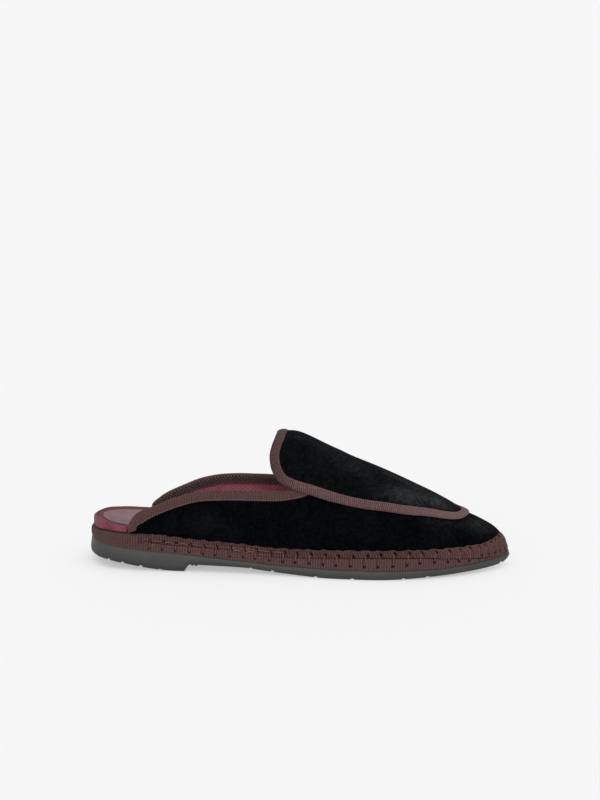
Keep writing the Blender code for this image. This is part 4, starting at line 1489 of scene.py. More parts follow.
@dataclass
class Footbed:
    """Cloth-covered insole with a rounded edge at the open heel, and the pad in its heel seat.

    Attributes:
        inset: How far the bare edge lies inside the sole's edge.
        side_gap: Gap to the inside of the upper.
        narrows: Stations over which the insole draws in at the outer and at the inner quarter.
        dish: Depth of the heel seat and stations over which it ends.
        dish_start: Station from which the seat has its full depth.
        edge: Radius of its rounded edge.
        foot: Inset and height over its bottom of its lower edge.
        least: Least thickness of the insole.
        over_band: Height of its bottom over the band, where it is thick enough there.
        tip: Lengths before the last's end between which it ends, and its half-width there.
        top_shade: Depth of shade of its top, and the inset from which that grows.
        seam: Depth of shade, place inside the rounded edge, and width of the seam.
        pad_ends: Stations of the pad's back and front.
        pad_half: Half-width of the pad.
        pad_edge: Inset and height round the pad's edge.
        pad_gap: Gap under the pad.
        pad_swell: How far its top swells.
        rim: Width of the pad's pressed edge.
        rows: Number of rows along insole and pad.
    """

    inset: float = 1.9
    side_gap: float = 1.7
    narrows: tuple[Pair, Pair] = ((26, QUARTER_START), (36.2, 38.4))
    dish: Triple = (1.0, 70.0, 110.0)
    dish_start: float = 7.0
    edge: float = 2.3
    foot: tuple[Pair, ...] = ((0.7, 0), (0.15, 0.35), (0, 0.9))
    least: float = 3.2
    over_band: float = 0.6
    tip: Triple = (20.0, 0.2, 2.0)
    top_shade: Pair = (0.3, 0.4)
    seam: Triple = (0.4, 0.6, 0.35)
    pad_ends: Pair = (7.6, 76.0)
    pad_half: float = 20.6
    pad_edge: tuple[Pair, ...] = ((0.2, 0), (0, 0.25), (0.1, 0.315), (0.35, 0.45), (0.8, 0.5))
    pad_gap: float = 0.08
    pad_swell: float = 0.25
    # rim: Width of the shade painted along the pad's edge.
    rim: float = 0.5
    rows: tuple[int, int] = (300, 120)

    def half(self, station: Array, side: Side) -> Array:
        """Half-width of the insole.

        Args:
            station: Stations.
            side: Which side.

        Returns:
            A half-width for each.
        """
        heel = np.maximum(OUTLINE[side](np.maximum(station - self.inset, 0.0)) - self.inset, 0.0)
        inside = np.maximum(LAST.width_at(station, side, INSOLE_TOP(station) + 0.3) - self.side_gap, 0.0)
        drawn = ease(*dict(zip(Side, self.narrows))[side], station)
        return heel + (np.minimum(inside, heel) - heel) * drawn

    def sunk(self, station: Array) -> Array:
        """Depth of the heel seat in the middle."""
        depth, start, end = self.dish
        return depth * (1.0 - ease(start, end, station))

    def build_insole(self, finish: Material) -> None:
        """Make the insole.

        Args:
            finish: Its cloth.
        """
        start, stop, narrow = self.tip
        probe = np.arange(LAST_END - start, LAST_END - stop, 0.1)
        end = probe[np.argmax(self.half(probe, Side.MEDIAL) < narrow)]
        station = spread(self.inset + 0.08, end, self.rows[0], 1.0, 1.0)
        top = INSOLE_TOP(station)
        bottom = np.minimum(top - self.least, BAND(station) + self.over_band)
        turn = np.linspace(0.0, np.pi / 2.0, 9)
        profile = [(inset, bottom + height) for inset, height in self.foot]
        profile += [(self.edge * (1.0 - np.cos(a)), top - self.edge * (1.0 - np.sin(a))) for a in turn]
        edges = {s: np.column_stack((station, s.value * self.half(station, s))) for s in Side}

        def seam(inset: float) -> float:
            """Shade of the covered top, with a dark seam along its edge."""
            (tone, start), (depth, place, width) = self.top_shade, self.seam
            return float(tone * ease(start, self.edge, inset) + depth * bell(inset, self.edge + place, width))

        def seat(at: Array, share: Array) -> Array:
            """Hollow of the heel seat."""
            across = np.clip(10.0 * share * (1.0 - share), 0.0, 1.0)
            return -self.sunk(at) * across * ease(self.inset + 0.6, self.dish_start, at)

        patches = pillow(edges, profile, seat, seam)
        make_piece("insole_cover", patches, [finish], ["insole"])

    def build_pad(self, finish: Material) -> Piece:
        """Make the heel pad.

        Args:
            finish: Its cloth.

        Returns:
            The piece.
        """
        back, front = self.pad_ends
        station = spread(back, front, self.rows[1], 1.0, 1.0)
        end = np.abs(station - (back + front) / 2.0) / ((front - back) / 2.0)
        half = self.pad_half * np.sqrt(np.maximum(1.0 - end ** 3, 0.0))
        seat = INSOLE_TOP(station) + self.pad_gap - self.sunk(station)
        profile = [(inset, seat + height) for inset, height in self.pad_edge]
        edges = {s: np.column_stack((station, s.value * half)) for s in Side}

        def crown(at: Array, share: Array) -> Array:
            """Swell of the pad's top."""
            lengthwise = np.sin(np.pi * np.clip((at - back) / (front - back), 0.0, 1.0))
            return self.pad_swell * lengthwise * (4.0 * share * (1.0 - share))

        def pad_edge_shade(inset: float) -> float:
            """Shade painted along the pad's edge, where it meets the insole."""
            return 1.0 if inset < self.rim else 0.0

        patches = pillow(edges, profile, crown, pad_edge_shade)
        return make_piece("heel_pad_cloth", patches, [finish], ["heel_pad"])


@dataclass(frozen=True)
class Mark:
    """A soft mark between two places: a crease of the cloth, or a highlight painted on its pile.

    Attributes:
        start: Station and reach from the crest at one end.
        end: Station and reach at the other.
        width: Half-width.
        depth: Depth of a trough in its middle, below 0 for a ridge; for a painted highlight, how much lighter
            it paints the pile.
    """

    start: Pair
    end: Pair
    width: float
    depth: float

    def press(self, station: Array, reach: Array) -> Array:
        """Depth at places.

        Args:
            station: Stations.
            reach: Reaches from the crest.

        Returns:
            A depth for each.
        """
        a, b = np.array(self.start), np.array(self.end)
        run = b - a
        t = ((station - a[0]) * run[0] + (reach - a[1]) * run[1]) / (run @ run)
        held = np.clip(t, 0.0, 1.0)
        away = np.hypot(station - a[0] - held * run[0], reach - a[1] - held * run[1])
        return self.depth * np.exp(-(away / self.width) ** 2) * (0.35 + 0.65 * np.sin(np.pi * held))


def pressed(marks: Iterable[Mark], station: Array, reach: Array) -> Array:
    """Depth at places of several marks together."""
    return sum(mark.press(station, reach) for mark in marks)


@dataclass
class Upper:
    """Velvet vamp and quarters over a cloth lining, open at the mouth and underneath.

    Attributes:
        collar: Station and height of the outer and the inner quarter's edge.
        wall: Offsets of lining and velvet from the last, inside and outside.
        corner: Length of a quarter's rounded back corner.
        rows: Rows at the corner, along the quarter, in the throat and over the vamp.
        columns: Columns of velvet and of lining.
        creases: Creases of the velvet, listed one by one.
        painted_highlights: Highlights painted on its pile, listed one by one, lighter where light catches it.
    """

    collar: tuple[Curve, Curve] = (
        Curve((
            (QUARTER_START, 28.6), (31, 32.6), (34.4, 35.4), (44, 39.4), (60, 45.6), (75, 49.1),
            (91, 49.8), (121, 50.2), (131, 51.8), (139, 55.2), (THROAT_BEND, 60.6))),
        Curve((
            (36.4, 27.6), (37.6, 29.4), (40.4, 31.9), (44.2, 34.9), (56, 41.1), (71, 47.4), (84, 49.9),
            (96, 50.5), (108, 50.3), (121, 49.6), (131, 51.4), (139, 55), (THROAT_BEND, 60.4))))
    wall: tuple[Pair, Pair] = ((0, 0.5), (0.6, 1.8))
    corner: float = 6.5
    rows: tuple[int, int, int, int] = (14, 110, 10, 130)
    columns: tuple[int, int] = (64, 22)
    creases: tuple[Mark, ...] = (
        Mark((170.4, -42.1), (183, -49.1), 2.6, 0.5), Mark((173.5, -40.5), (186, -46.5), 2.2, -0.35),
        Mark((128.5, -45.8), (131.6, -52), 1.5, 0.4), Mark((136, -44.6), (139.4, -51), 1.5, 0.45),
        Mark((143.4, -43.6), (146.6, -49), 1.4, 0.4), Mark((235, -11), (249.9, -7), 2.4, 0.4),
        Mark((239, -5), (250, 1.5), 2.4, 0.3), Mark((172, 44), (186, 50), 2.6, 0.45),
        Mark((136, 44.6), (139.4, 51), 1.5, 0.4))
    painted_highlights: tuple[Mark, ...] = (
        Mark((237, -13), (253, -4), 5.5, 0.8), Mark((240, 0), (254, 3), 6, 0.6),
        Mark((56, -58), (96, -62), 6, 0.15), Mark((214, -29), (230, -23), 5, 0.12),
        Mark((210, -27), (236, -14.5), 3.2, 0.4))

    def edge(self, side: Side) -> Curve:
        """Station and height of one quarter's edge."""
        return dict(zip(Side, self.collar))[side]

    def start(self, side: Side) -> float:
        """Station of a quarter's back end."""
        return self.edge(side).rows[0][0]

    def top(self, station: Array, side: Side) -> Array:
        """Share at the mouth's edge: collar, throat, then the closed vamp.

        Args:
            station: Stations.
            side: Which side.

        Returns:
            A share for each.
        """
        collar = LAST.share_at(station, side, self.edge(side)(station))
        bend = LAST.share_at(np.array([THROAT_BEND]), side, self.edge(side).rows[-1][1])[0]
        left = np.clip((THROAT - station) / (THROAT - THROAT_BEND), 0.0, 1.0)
        return np.where(station > THROAT_BEND, bend * np.sqrt(left), collar)

    def bottom(self, station: Array, side: Side) -> Array:
        """Share at the lower edge."""
        return LAST.share_at(station, side, lip_height(station - 0.3 - LEDGE_STEP) + 0.3)

    def places(self, side: Side, count: int) -> tuple[Array, Array]:
        """Stations and shares of one side, rows by columns.

        Args:
            side: Which side.
            count: Number of columns.

        Returns:
            The stations and the shares.
        """
        start = self.start(side)
        corner, quarter, throat, vamp = self.rows
        station = np.concatenate((
            spread(start, start + self.corner, corner, 0.5)[:-1],
            spread(start + self.corner, THROAT_BEND, quarter)[:-1],
            spread(THROAT_BEND, THROAT, throat, 0.0, 1.0)[:-1],
            spread(THROAT, LAST_END, vamp, 0.0, 0.97)))
        top, bottom = self.top(station, side), self.bottom(station, side)
        t = np.linspace(0.0, 1.0, count)
        share = side.value * (top[:, None] + (bottom - top)[:, None] * t)
        return np.broadcast_to(station[:, None], share.shape), share

    def sheet(self, side: Side, count: int, offset: float, creased: bool) -> tuple[Array, Array]:
        """One side at an offset from the last.

        Args:
            side: Which side.
            count: Number of columns.
            offset: Offset from the last.
            creased: Whether it takes the creases and the painted highlights.

        Returns:
            Its points, and the shade of each, below 0 where a highlight is painted on the pile.
        """
        station, share = self.places(side, count)
        flat_station, flat_share = station.ravel(), share.ravel()
        out, shade = np.full(flat_station.shape, offset), np.zeros(flat_station.shape)
        if creased:
            girth = LAST.girth(np.minimum(flat_station, LAST_END - 0.05), sign(flat_share))
            reach = flat_share * girth
            out -= pressed(self.creases, flat_station, reach)
            # Painted highlights: the pile is made lighter where light catches it.
            shade -= pressed(self.painted_highlights, flat_station, reach)
        points = LAST.offset(flat_station, flat_share, out).reshape(*station.shape, 3)
        return points, shade.reshape(station.shape)

    def build(self, velvet: Material, lining: Material) -> None:
        """Make velvet and lining.

        Args:
            velvet: Finish of the outside.
            lining: Finish of the inside.
        """
        inside, outside = self.wall
        for name, wall, count, finish, slot, stands_for in (
                ("upper_velvet", outside, self.columns[0], velvet, Slot.VELVET, ["upper"]),
                ("upper_lining", inside, self.columns[1], lining, Slot.CLOTH, [])):
            patches = []
            for side in Side:
                outer, shade = self.sheet(side, count, wall[1], name == "upper_velvet")
                inner, _ = self.sheet(side, count, wall[0], False)
                patches += self.wall_of(outer, inner, shade)
            make_piece(name, patches, [finish], stands_for)

    def wall_of(self, outer: Array, inner: Array, shade: Array) -> list[Patch]:
        """Sheets of one side of a wall, open along the crest where the two sides weld.

        Args:
            outer: Outer sheet.
            inner: Inner sheet.
            shade: Depth of shade on the outer sheet.

        Returns:
            The sheets.
        """
        closed = self.rows[0] + self.rows[1] + self.rows[2] - 3
        found = shell(outer, inner, shade)
        mouth = np.stack((inner[:closed + 1, 0], outer[:closed + 1, 0]), axis=1)
        found[4] = Patch(mouth, grid_weave(mouth))
        return found


def soften(path: Array, closed: bool, times: int) -> Array:
    """A path smoothed a number of times, with its ends held unless it is closed.

    Args:
        path: Points along it.
        closed: Whether its end meets its start.
        times: How many times it is smoothed.

    Returns:
        The points.
    """
    soft = path.copy()
    for _ in range(times):
        before, after = np.roll(soft, 1, axis=0), np.roll(soft, -1, axis=0)
        if not closed:
            before[0], after[-1] = soft[0], soft[-1]
        moved = (before + 2.0 * soft + after) / 4.0
        if not closed:
            moved[0], moved[-1] = soft[0], soft[-1]
        soft = moved
    return soft


def leftward(path: Array, closed: bool, softness: int) -> Array:
    """Unit directions to the left of a path of station and reach.

    Args:
        path: Points along it.
        closed: Whether its end meets its start.
        softness: How many times the path is smoothed before its direction is read.

    Returns:
        A direction for each point.
    """
    soft = soften(path, closed, softness)
    run = np.roll(soft, -1, axis=0) - np.roll(soft, 1, axis=0) if closed else np.gradient(soft, axis=0)
    return unit(np.column_stack((-run[:, 1], run[:, 0])))


def sewing(line: Array, pitch: float, length: float, radius: float) -> list[Patch]:
    """Small stitches along a line.

    Args:
        line: Points along it.
        pitch: Distance from stitch to stitch.
        length: Length of a stitch.
        radius: Radius of its thread.

    Returns:
        A sheet for each stitch.
    """
    run, share = lengths(line), np.linspace(-0.5, 0.5, 7)
    taper = radius * np.sqrt(np.maximum(1.0 - (2.0 * share) ** 2, 0.0) + 1e-4)
    found = []
    for middle in np.arange(pitch * 2.0, run[-1] - pitch * 4.0, pitch):
        found.append(tube(points_at(line, run, middle + share * length), taper, 6))
    return found


@dataclass
class CollarRibbon:
    """Ribbon folded over the edge of a quarter and sewn through along its lower edge.

    Attributes:
        upper: The upper whose edge it binds.
        end: Station at which it runs out under the tab.
        foot: Height of its lower end over the band.
        fold: Depth from the edge and offset from the last, round the folded ribbon.
        inside: Numbers of the fold's rows between which the ribbon's inner leg shows.
        gather: Length from the lower end and width of the ribbon there, as a share.
        flare: How far its lower end stands off the quarter, and over what length.
        softness: How far its lower edge rounds off the turn at the quarter's corner.
        rib: Pitch and height of its ribs.
        step: Spacing of its rows.
        sewing: Depth of the sewing, pitch, length and radius of a stitch.
        sewn: Offsets from the last of the sewing on the outer and the inner leg.
        core: Offset from the last of the middle of the fold.
    """

    upper: Upper
    end: float = 145.5
    foot: float = 0.8
    fold: tuple[Pair, ...] = (
        (5.55, 1.9), (5.7, 2.2), (5.55, 2.6), (5, 2.85), (3.8, 3.02), (2.6, 3.06), (1.5, 3), (0.7, 2.84),
        (0.1, 2.5), (-0.4, 2), (-0.7, 1.45), (-0.78, 0.9), (-0.7, 0.35), (-0.4, -0.25), (0.1, -0.7),
        (0.7, -0.98), (1.5, -1.1), (2.6, -1.12), (3.8, -1.12), (5, -1.1), (5.55, -1), (5.7, -0.65),
        (5.55, -0.35), (4, -0.3), (2, -0.3), (0.3, -0.2), (0, 0.9), (0.3, 1.85), (2, 1.9), (4, 1.9))
    inside: tuple[int, int] = (13, 22)
    gather: Curve = Curve((
        (0, 0.78), (4, 0.9), (8, 1.2), (13, 1.3), (19, 1.1), (25, 1), (400, 1)))
    flare: Pair = (1.7, 9.0)
    softness: float = 5.0
    rib: Pair = (1.5, 0.04)
    step: float = 0.26
    sewing: Four = (5.15, 1.7, 1.0, 0.2)
    sewn: Pair = (2.88, -1.14)
    core: float = 0.9

    def path(self, side: Side) -> Array:
        """Edge of the quarter: up its back end, then along the collar, as station and reach.

        Args:
            side: Which side.

        Returns:
            Evenly spaced points.
        """
        start = self.upper.start(side)
        low = float(BAND(np.array(start))) + self.foot
        heights = np.linspace(low, self.upper.edge(side).rows[0][1], 12)[:-1]
        station = np.concatenate((np.full(len(heights), start), spread(start, self.end, 260, 0.9)))
        share = np.concatenate((LAST.share_at(station[:len(heights)], side, heights),
                                self.upper.top(station[len(heights):], side)))
        girth = LAST.girth(station, np.full(len(station), side.value))
        edge = np.column_stack((station, side.value * share * girth))
        return resample(edge, int(lengths(edge)[-1] / self.step))

    def build(self, side: Side, ribbon: Material, inside: Material, thread: Material) -> None:
        """Make the ribbon of one side and its sewing.

        Args:
            side: Which quarter.
            ribbon: Finish of the ribbon.
            inside: Finish of its inner leg.
            thread: Finish of the sewing.
        """
        name = side.name.lower()
        path = self.path(side)
        into = leftward(path, False, 120) * side.value
        run = lengths(path)
        wide = self.gather(run)
        ribs = ribbed(run, *self.rib)
        flare = self.flare[0] * (1.0 - ease(0.0, self.flare[1], run))

        def row(depth: float, out: float) -> Array:
            """Points along the ribbon.

            Args:
                depth: Depth from the quarter's edge.
                out: Offset from the last.

            Returns:
                A point for each step along the edge.
            """
            proud = np.clip(out - self.core, -1.0, 1.0)
            deep = depth * (1.0 + (wide - 1.0) * ease(0.5, 4.0, depth))
            times = int(self.softness * max(depth, 0.0) ** 2)
            spots = soften(path + into * np.reshape(deep, (-1, 1)), False, times)
            return LAST.place(spots, out + flare + ribs * proud)

        rows = np.stack([row(*spot) for spot in self.fold], axis=1)
        sheet = closed_section(rows, run=run)
        first, last = self.inside
        patches = [end_cap(rows[0]), end_cap(rows[-1])]
        for start, end, finish in ((0, first, 0), (first, last, 1), (last, len(self.fold), 0)):
            patches.append(Patch(sheet.points[:, start:end + 1], sheet.weave[:, start:end + 1], finish))
        make_piece(f"collar_ribbon_{name}", patches, [ribbon, inside],
                   [f"collar_binding_{name}"])
        deep, *stitch = self.sewing
        stitches = [patch for out in self.sewn for patch in sewing(row(deep, out), *stitch)]
        make_piece(f"collar_sewing_{name}", stitches, [thread])


@dataclass
class Apron:
    """Velvet apron over the instep with a free tab, its lining, and the ribbon round its edge.

    Attributes:
        edge: Station and reach from the crest along half of its edge, from the tab's middle to the toe.
        ribbon: Share of the ribbon's width in from the edge, and level over the seat, round the ribbon.
        width: Width of the ribbon at a station.
        sewing: Share of the ribbon's width at the sewing, pitch, length and radius of a stitch.
        sewn: Level of the sewing over the seat.
        rib: Pitch and height of the ribbon's ribs.
        tuck: Share of the ribbon's width at which the velvet starts under it.
        tab_shade: Stations over which the ribbon turns darker round the tab, and by how much.
        toe_light: Stations over which the ribbon turns lighter to the toe, and by how much.
        edge_shade: Depth of shade at the ribbon's outer edge.
        groove: Depth, place and width of the painted shade in the velvet beside the ribbon.
        groove_shade_fade: Stations over which that painted shade fades, and by how much.
        base: Offset of its underside from the last, on the vamp.
        lift: Height and stations over which the tab lifts off the collar ribbons.
        droop: Height and stations over which the tab's back edge bends down.
        puff: Level of the velvet under the ribbon, in the middle, and how far in that is.
        lining: Levels of the lining.
        spine: Stations between which its rows run to the crest.
        count: Points round the velvet, loops from edge to crest, and points round the ribbon.
        creases: Creases of the velvet, listed one by one.
        painted_highlights: Highlights painted on its pile, listed one by one, lighter where light catches it.
    """

    edge: tuple[Pair, ...] = (
        (118.4, 0), (117.6, 5.5), (115.9, 12), (115.1, 19), (117, 27.6), (122.4, 34.9),
        (131, 38.3), (142, 38.9), (159, 37.8), (176, 36), (189, 32.8), (201, 28.9),
        (216, 22.2), (225.5, 17.3), (231.8, 13), (235.5, 9.1), (237.5, 4.9), (238.4, 0))
    ribbon: tuple[Pair, ...] = (
        (0.93, 0.05), (0.5, 0), (0.16, 0.06), (0.04, 0.3), (0, 0.68), (0.04, 1.02), (0.14, 1.3),
        (0.3, 1.5), (0.5, 1.58), (0.7, 1.52), (0.86, 1.36), (0.96, 1.08), (1, 0.75), (0.98, 0.3))
    width: Curve = Curve(((116, 6.6), (126, 6.1), (136, 6.2), (143, 6.6), (152, 6.5), (160, 6.2),
                          (185, 5.9), (205, 5.7), (220, 5.4), (230, 5.2), (239, 5)))
    sewing: Four = (0.86, 1.7, 1.0, 0.17)
    sewn: float = 1.44
    rib: Pair = (1.2, 0.05)
    tuck: float = 0.8
    tab_shade: Triple = (138.0, 118.0, 0.34)
    toe_light: Triple = (185.0, 228.0, 0.8)
    edge_shade: float = 0.25
    groove: Triple = (0.7, 0.6, 1.1)
    groove_shade_fade: Triple = (160.0, 195.0, 0.85)
    base: float = 2.1
    lift: Triple = (1.2, 150.0, 168.0)
    droop: Triple = (1.2, 117.5, 124.5)
    puff: Triple = (0.8, 2.0, 9.5)
    lining: Pair = (0.02, 0.45)
    spine: Pair = (138.0, 216.0)
    count: tuple[int, int, int] = (440, 52, 1320)
    creases: tuple[Mark, ...] = (
        Mark((148, -29.5), (182, -24.6), 2.8, 0.55), Mark((152, -20), (184, -16.5), 5, -0.3),
        Mark((148, 29.5), (182, 24.6), 2.8, 0.5), Mark((127, -24), (138, -30), 3, 0.3),
        Mark((127, 0), (157, 0), 9, 1))
    painted_highlights: tuple[Mark, ...] = (
        Mark((150, -6), (178, -13), 6.5, 0.4), Mark((180, -4), (216, -3), 5, 0.45),
        Mark((188, -17), (213, -10.5), 4.5, 0.8), Mark((212, -9), (228, -4), 4, 0.8),
        Mark((208, -14), (229, -8.4), 2.4, 0.9), Mark((182, -24), (212, -16.5), 4, 0.7),
        Mark((150, 8), (180, 14), 6.5, 0.4), Mark((190, 15), (226, 6), 5, 0.7),
        Mark((126, -4), (146, -2), 4.5, 0.3))

    def loop(self, count: int) -> Array:
        """Closed edge as station and reach, through its table on both sides.

        Args:
            count: Number of points.

        Returns:
            Evenly spaced points.
        """
        half = np.array(self.edge)
        whole = np.vstack((half * (1.0, -1.0), half[-2:0:-1]))
        t = np.linspace(0.0, 1.0, 60, endpoint=False)[:, None]
        path = []
        for i in range(len(whole)):
            a, b, c, d = (whole[(i + k) % len(whole)] for k in (-1, 0, 1, 2))
            square = 2.0 * a - 5.0 * b + 4.0 * c - d
            cube = 3.0 * b - a - 3.0 * c + d
            path.append(0.5 * (2.0 * b + (c - a) * t + square * t ** 2 + cube * t ** 3))
        path.append(path[0][:1])
        return resample(np.vstack(path), count + 1)[:-1]

    def drawn(self, count: int, share: float) -> Array:
        """The edge drawn in by a share of the ribbon's width.

        Args:
            count: Number of points.
            share: Share of the ribbon's width.

        Returns:
            The points.
        """
        loop = self.loop(count)
        into = leftward(loop, True, max(6, int(6 * (count / self.count[0]) ** 2)))
        return loop + into * (share * self.width(loop[:, 0]))[:, None]

    def seat(self, station: Array) -> Array:
        """Offset of the apron's underside from the last.

        Args:
            station: Stations.

        Returns:
            An offset for each.
        """
        height, full, start = self.lift
        bend, back, flat = self.droop
        risen, bent = 1.0 - ease(full, start, station), 1.0 - ease(back, flat, station)
        return self.base + height * risen - bend * bent ** 2

    def spots(self) -> Array:
        """Places over the velvet, in loops from its tucked edge to the crest.

        Returns:
            Loops by points of station and reach.
        """
        rim = self.drawn(self.count[0], self.tuck)
        middle = np.column_stack((np.clip(rim[:, 0], *self.spine), np.zeros(len(rim))))
        share = np.linspace(1.0, 0.0, self.count[1])[:, None, None] ** 1.15
        spots = middle[None] + (rim - middle)[None] * share
        return np.concatenate((spots, spots[:, :1]), axis=1)

    def sheet(self, spots: Array, level: Array) -> Array:
        """Points over the apron at levels above its seat."""
        flat = spots.reshape(-1, 2)
        return LAST.place(flat, self.seat(flat[:, 0]) + np.ravel(level)).reshape(*spots.shape[:2], 3)

    def pad(self, spots: Array, top: Array, under: Array, shade: Array) -> list[Patch]:
        """A closed pad over the apron between two levels.

        Args:
            spots: Its spots of station and reach.
            top: Level of its top at each.
            under: Level of its underside at each.
            shade: Depth of shade at each.

        Returns:
            The sheets of the pad.
        """
        upper, lower = self.sheet(spots, top), self.sheet(spots, under)
        rim = np.stack((lower[0], upper[0]))
        weave = np.concatenate((spots, shade[:, :, None]), axis=2)
        return [Patch(upper, weave), Patch(lower[::-1], weave[::-1]), Patch(rim, grid_weave(rim))]

    def build(self, velvet: Material, lining: Material, ribbon: Material, thread: Material) -> None:
        """Make apron, lining, ribbon and its sewing.

        Args:
            velvet: Finish of the apron.
            lining: Finish of its underside.
            ribbon: Finish of its edge.
            thread: Finish of the sewing.
        """
        spots = self.spots()
        away = np.linalg.norm(spots - spots[:1], axis=2)
        low, high, reach = self.puff
        top = low + (high - low) * np.sin(np.clip(away / reach, 0.0, 1.0) * np.pi / 2.0)
        # Painted shade: the velvet is darkened in a line beside the ribbon, where shade falls.
        start, end, fade = self.groove_shade_fade
        depth, *line = self.groove
        shade = depth * bell(away, *line) * (1.0 - fade * ease(start, end, spots[:, :, 0]))
        top -= pressed(self.creases, *spots.transpose(2, 0, 1)) * ease(0.0, 3.0, away)
        # Painted highlights: the pile is made lighter where light catches it, away from the ribbon.
        shade -= pressed(self.painted_highlights, *spots.transpose(2, 0, 1)) * ease(0.4, 2.0, away)
        flat = np.zeros(top.shape)
        under, over = self.lining
        velvet_pad = self.pad(spots, top, flat + over + 0.05, shade)
        lining_pad = self.pad(spots, flat + over, flat + under, flat)
        make_piece("apron_velvet", velvet_pad, [velvet], ["apron"])
        make_piece("apron_lining", lining_pad, [lining])
        rows, points = [], self.count[2]
        run = np.linspace(0.0, 1.0, points) * lengths(self.drawn(points, 0.5))[-1]
        ribs = ribbed(run, *self.rib)
        for share, level in self.ribbon:
            place = self.drawn(points, share)
            rows.append(LAST.place(place, self.seat(place[:, 0]) + level + ribs * ease(0.5, 1.2, level)))
        sections = np.stack(rows, axis=1)
        sheet = closed_section(np.concatenate((sections, sections[:1])), run=np.append(run, run[-1]))
        at = sheet.points[:, :, 0]
        across = np.array([share for share, _ in (*self.ribbon, self.ribbon[0])])
        dark, light = (depth * ease(start, end, at)
                       for start, end, depth in (self.tab_shade, self.toe_light))
        sheet.weave[:, :, 2] = dark - light
        sheet.weave[:, :, 2] += self.edge_shade * (1.0 - ease(0.0, 0.35, across))[None]
        make_piece("apron_ribbon", [sheet], [ribbon], ["apron_binding"])
        line = self.drawn(points, self.sewing[0])
        stitches = sewing(LAST.place(line, self.seat(line[:, 0]) + self.sewn), *self.sewing[1:])
        make_piece("apron_sewing", stitches, [thread])


@dataclass(frozen=True)
class Lamp:
    """A broad soft lamp, far enough away to light floor and shoe evenly.

    Attributes:
        name: Name of the lamp.
        place: Direction in which it hangs.
        breadth: Angle that its panel fills, in degrees.
        strength: Light on a surface that faces it.
    """

    name: str
    place: Triple
    breadth: float
    strength: float

    def hang(self) -> None:
        """Add the lamp."""
        data = bpy.data.lights.new(self.name, "SUN")
        data.angle, data.energy = np.radians(self.breadth), self.strength
        lamp = bpy.data.objects.new(self.name, data)
        lamp.location = self.place
        lamp.rotation_euler = (-Vector(self.place)).to_track_quat("-Z", "Y").to_euler()
        bpy.context.scene.collection.objects.link(lamp)


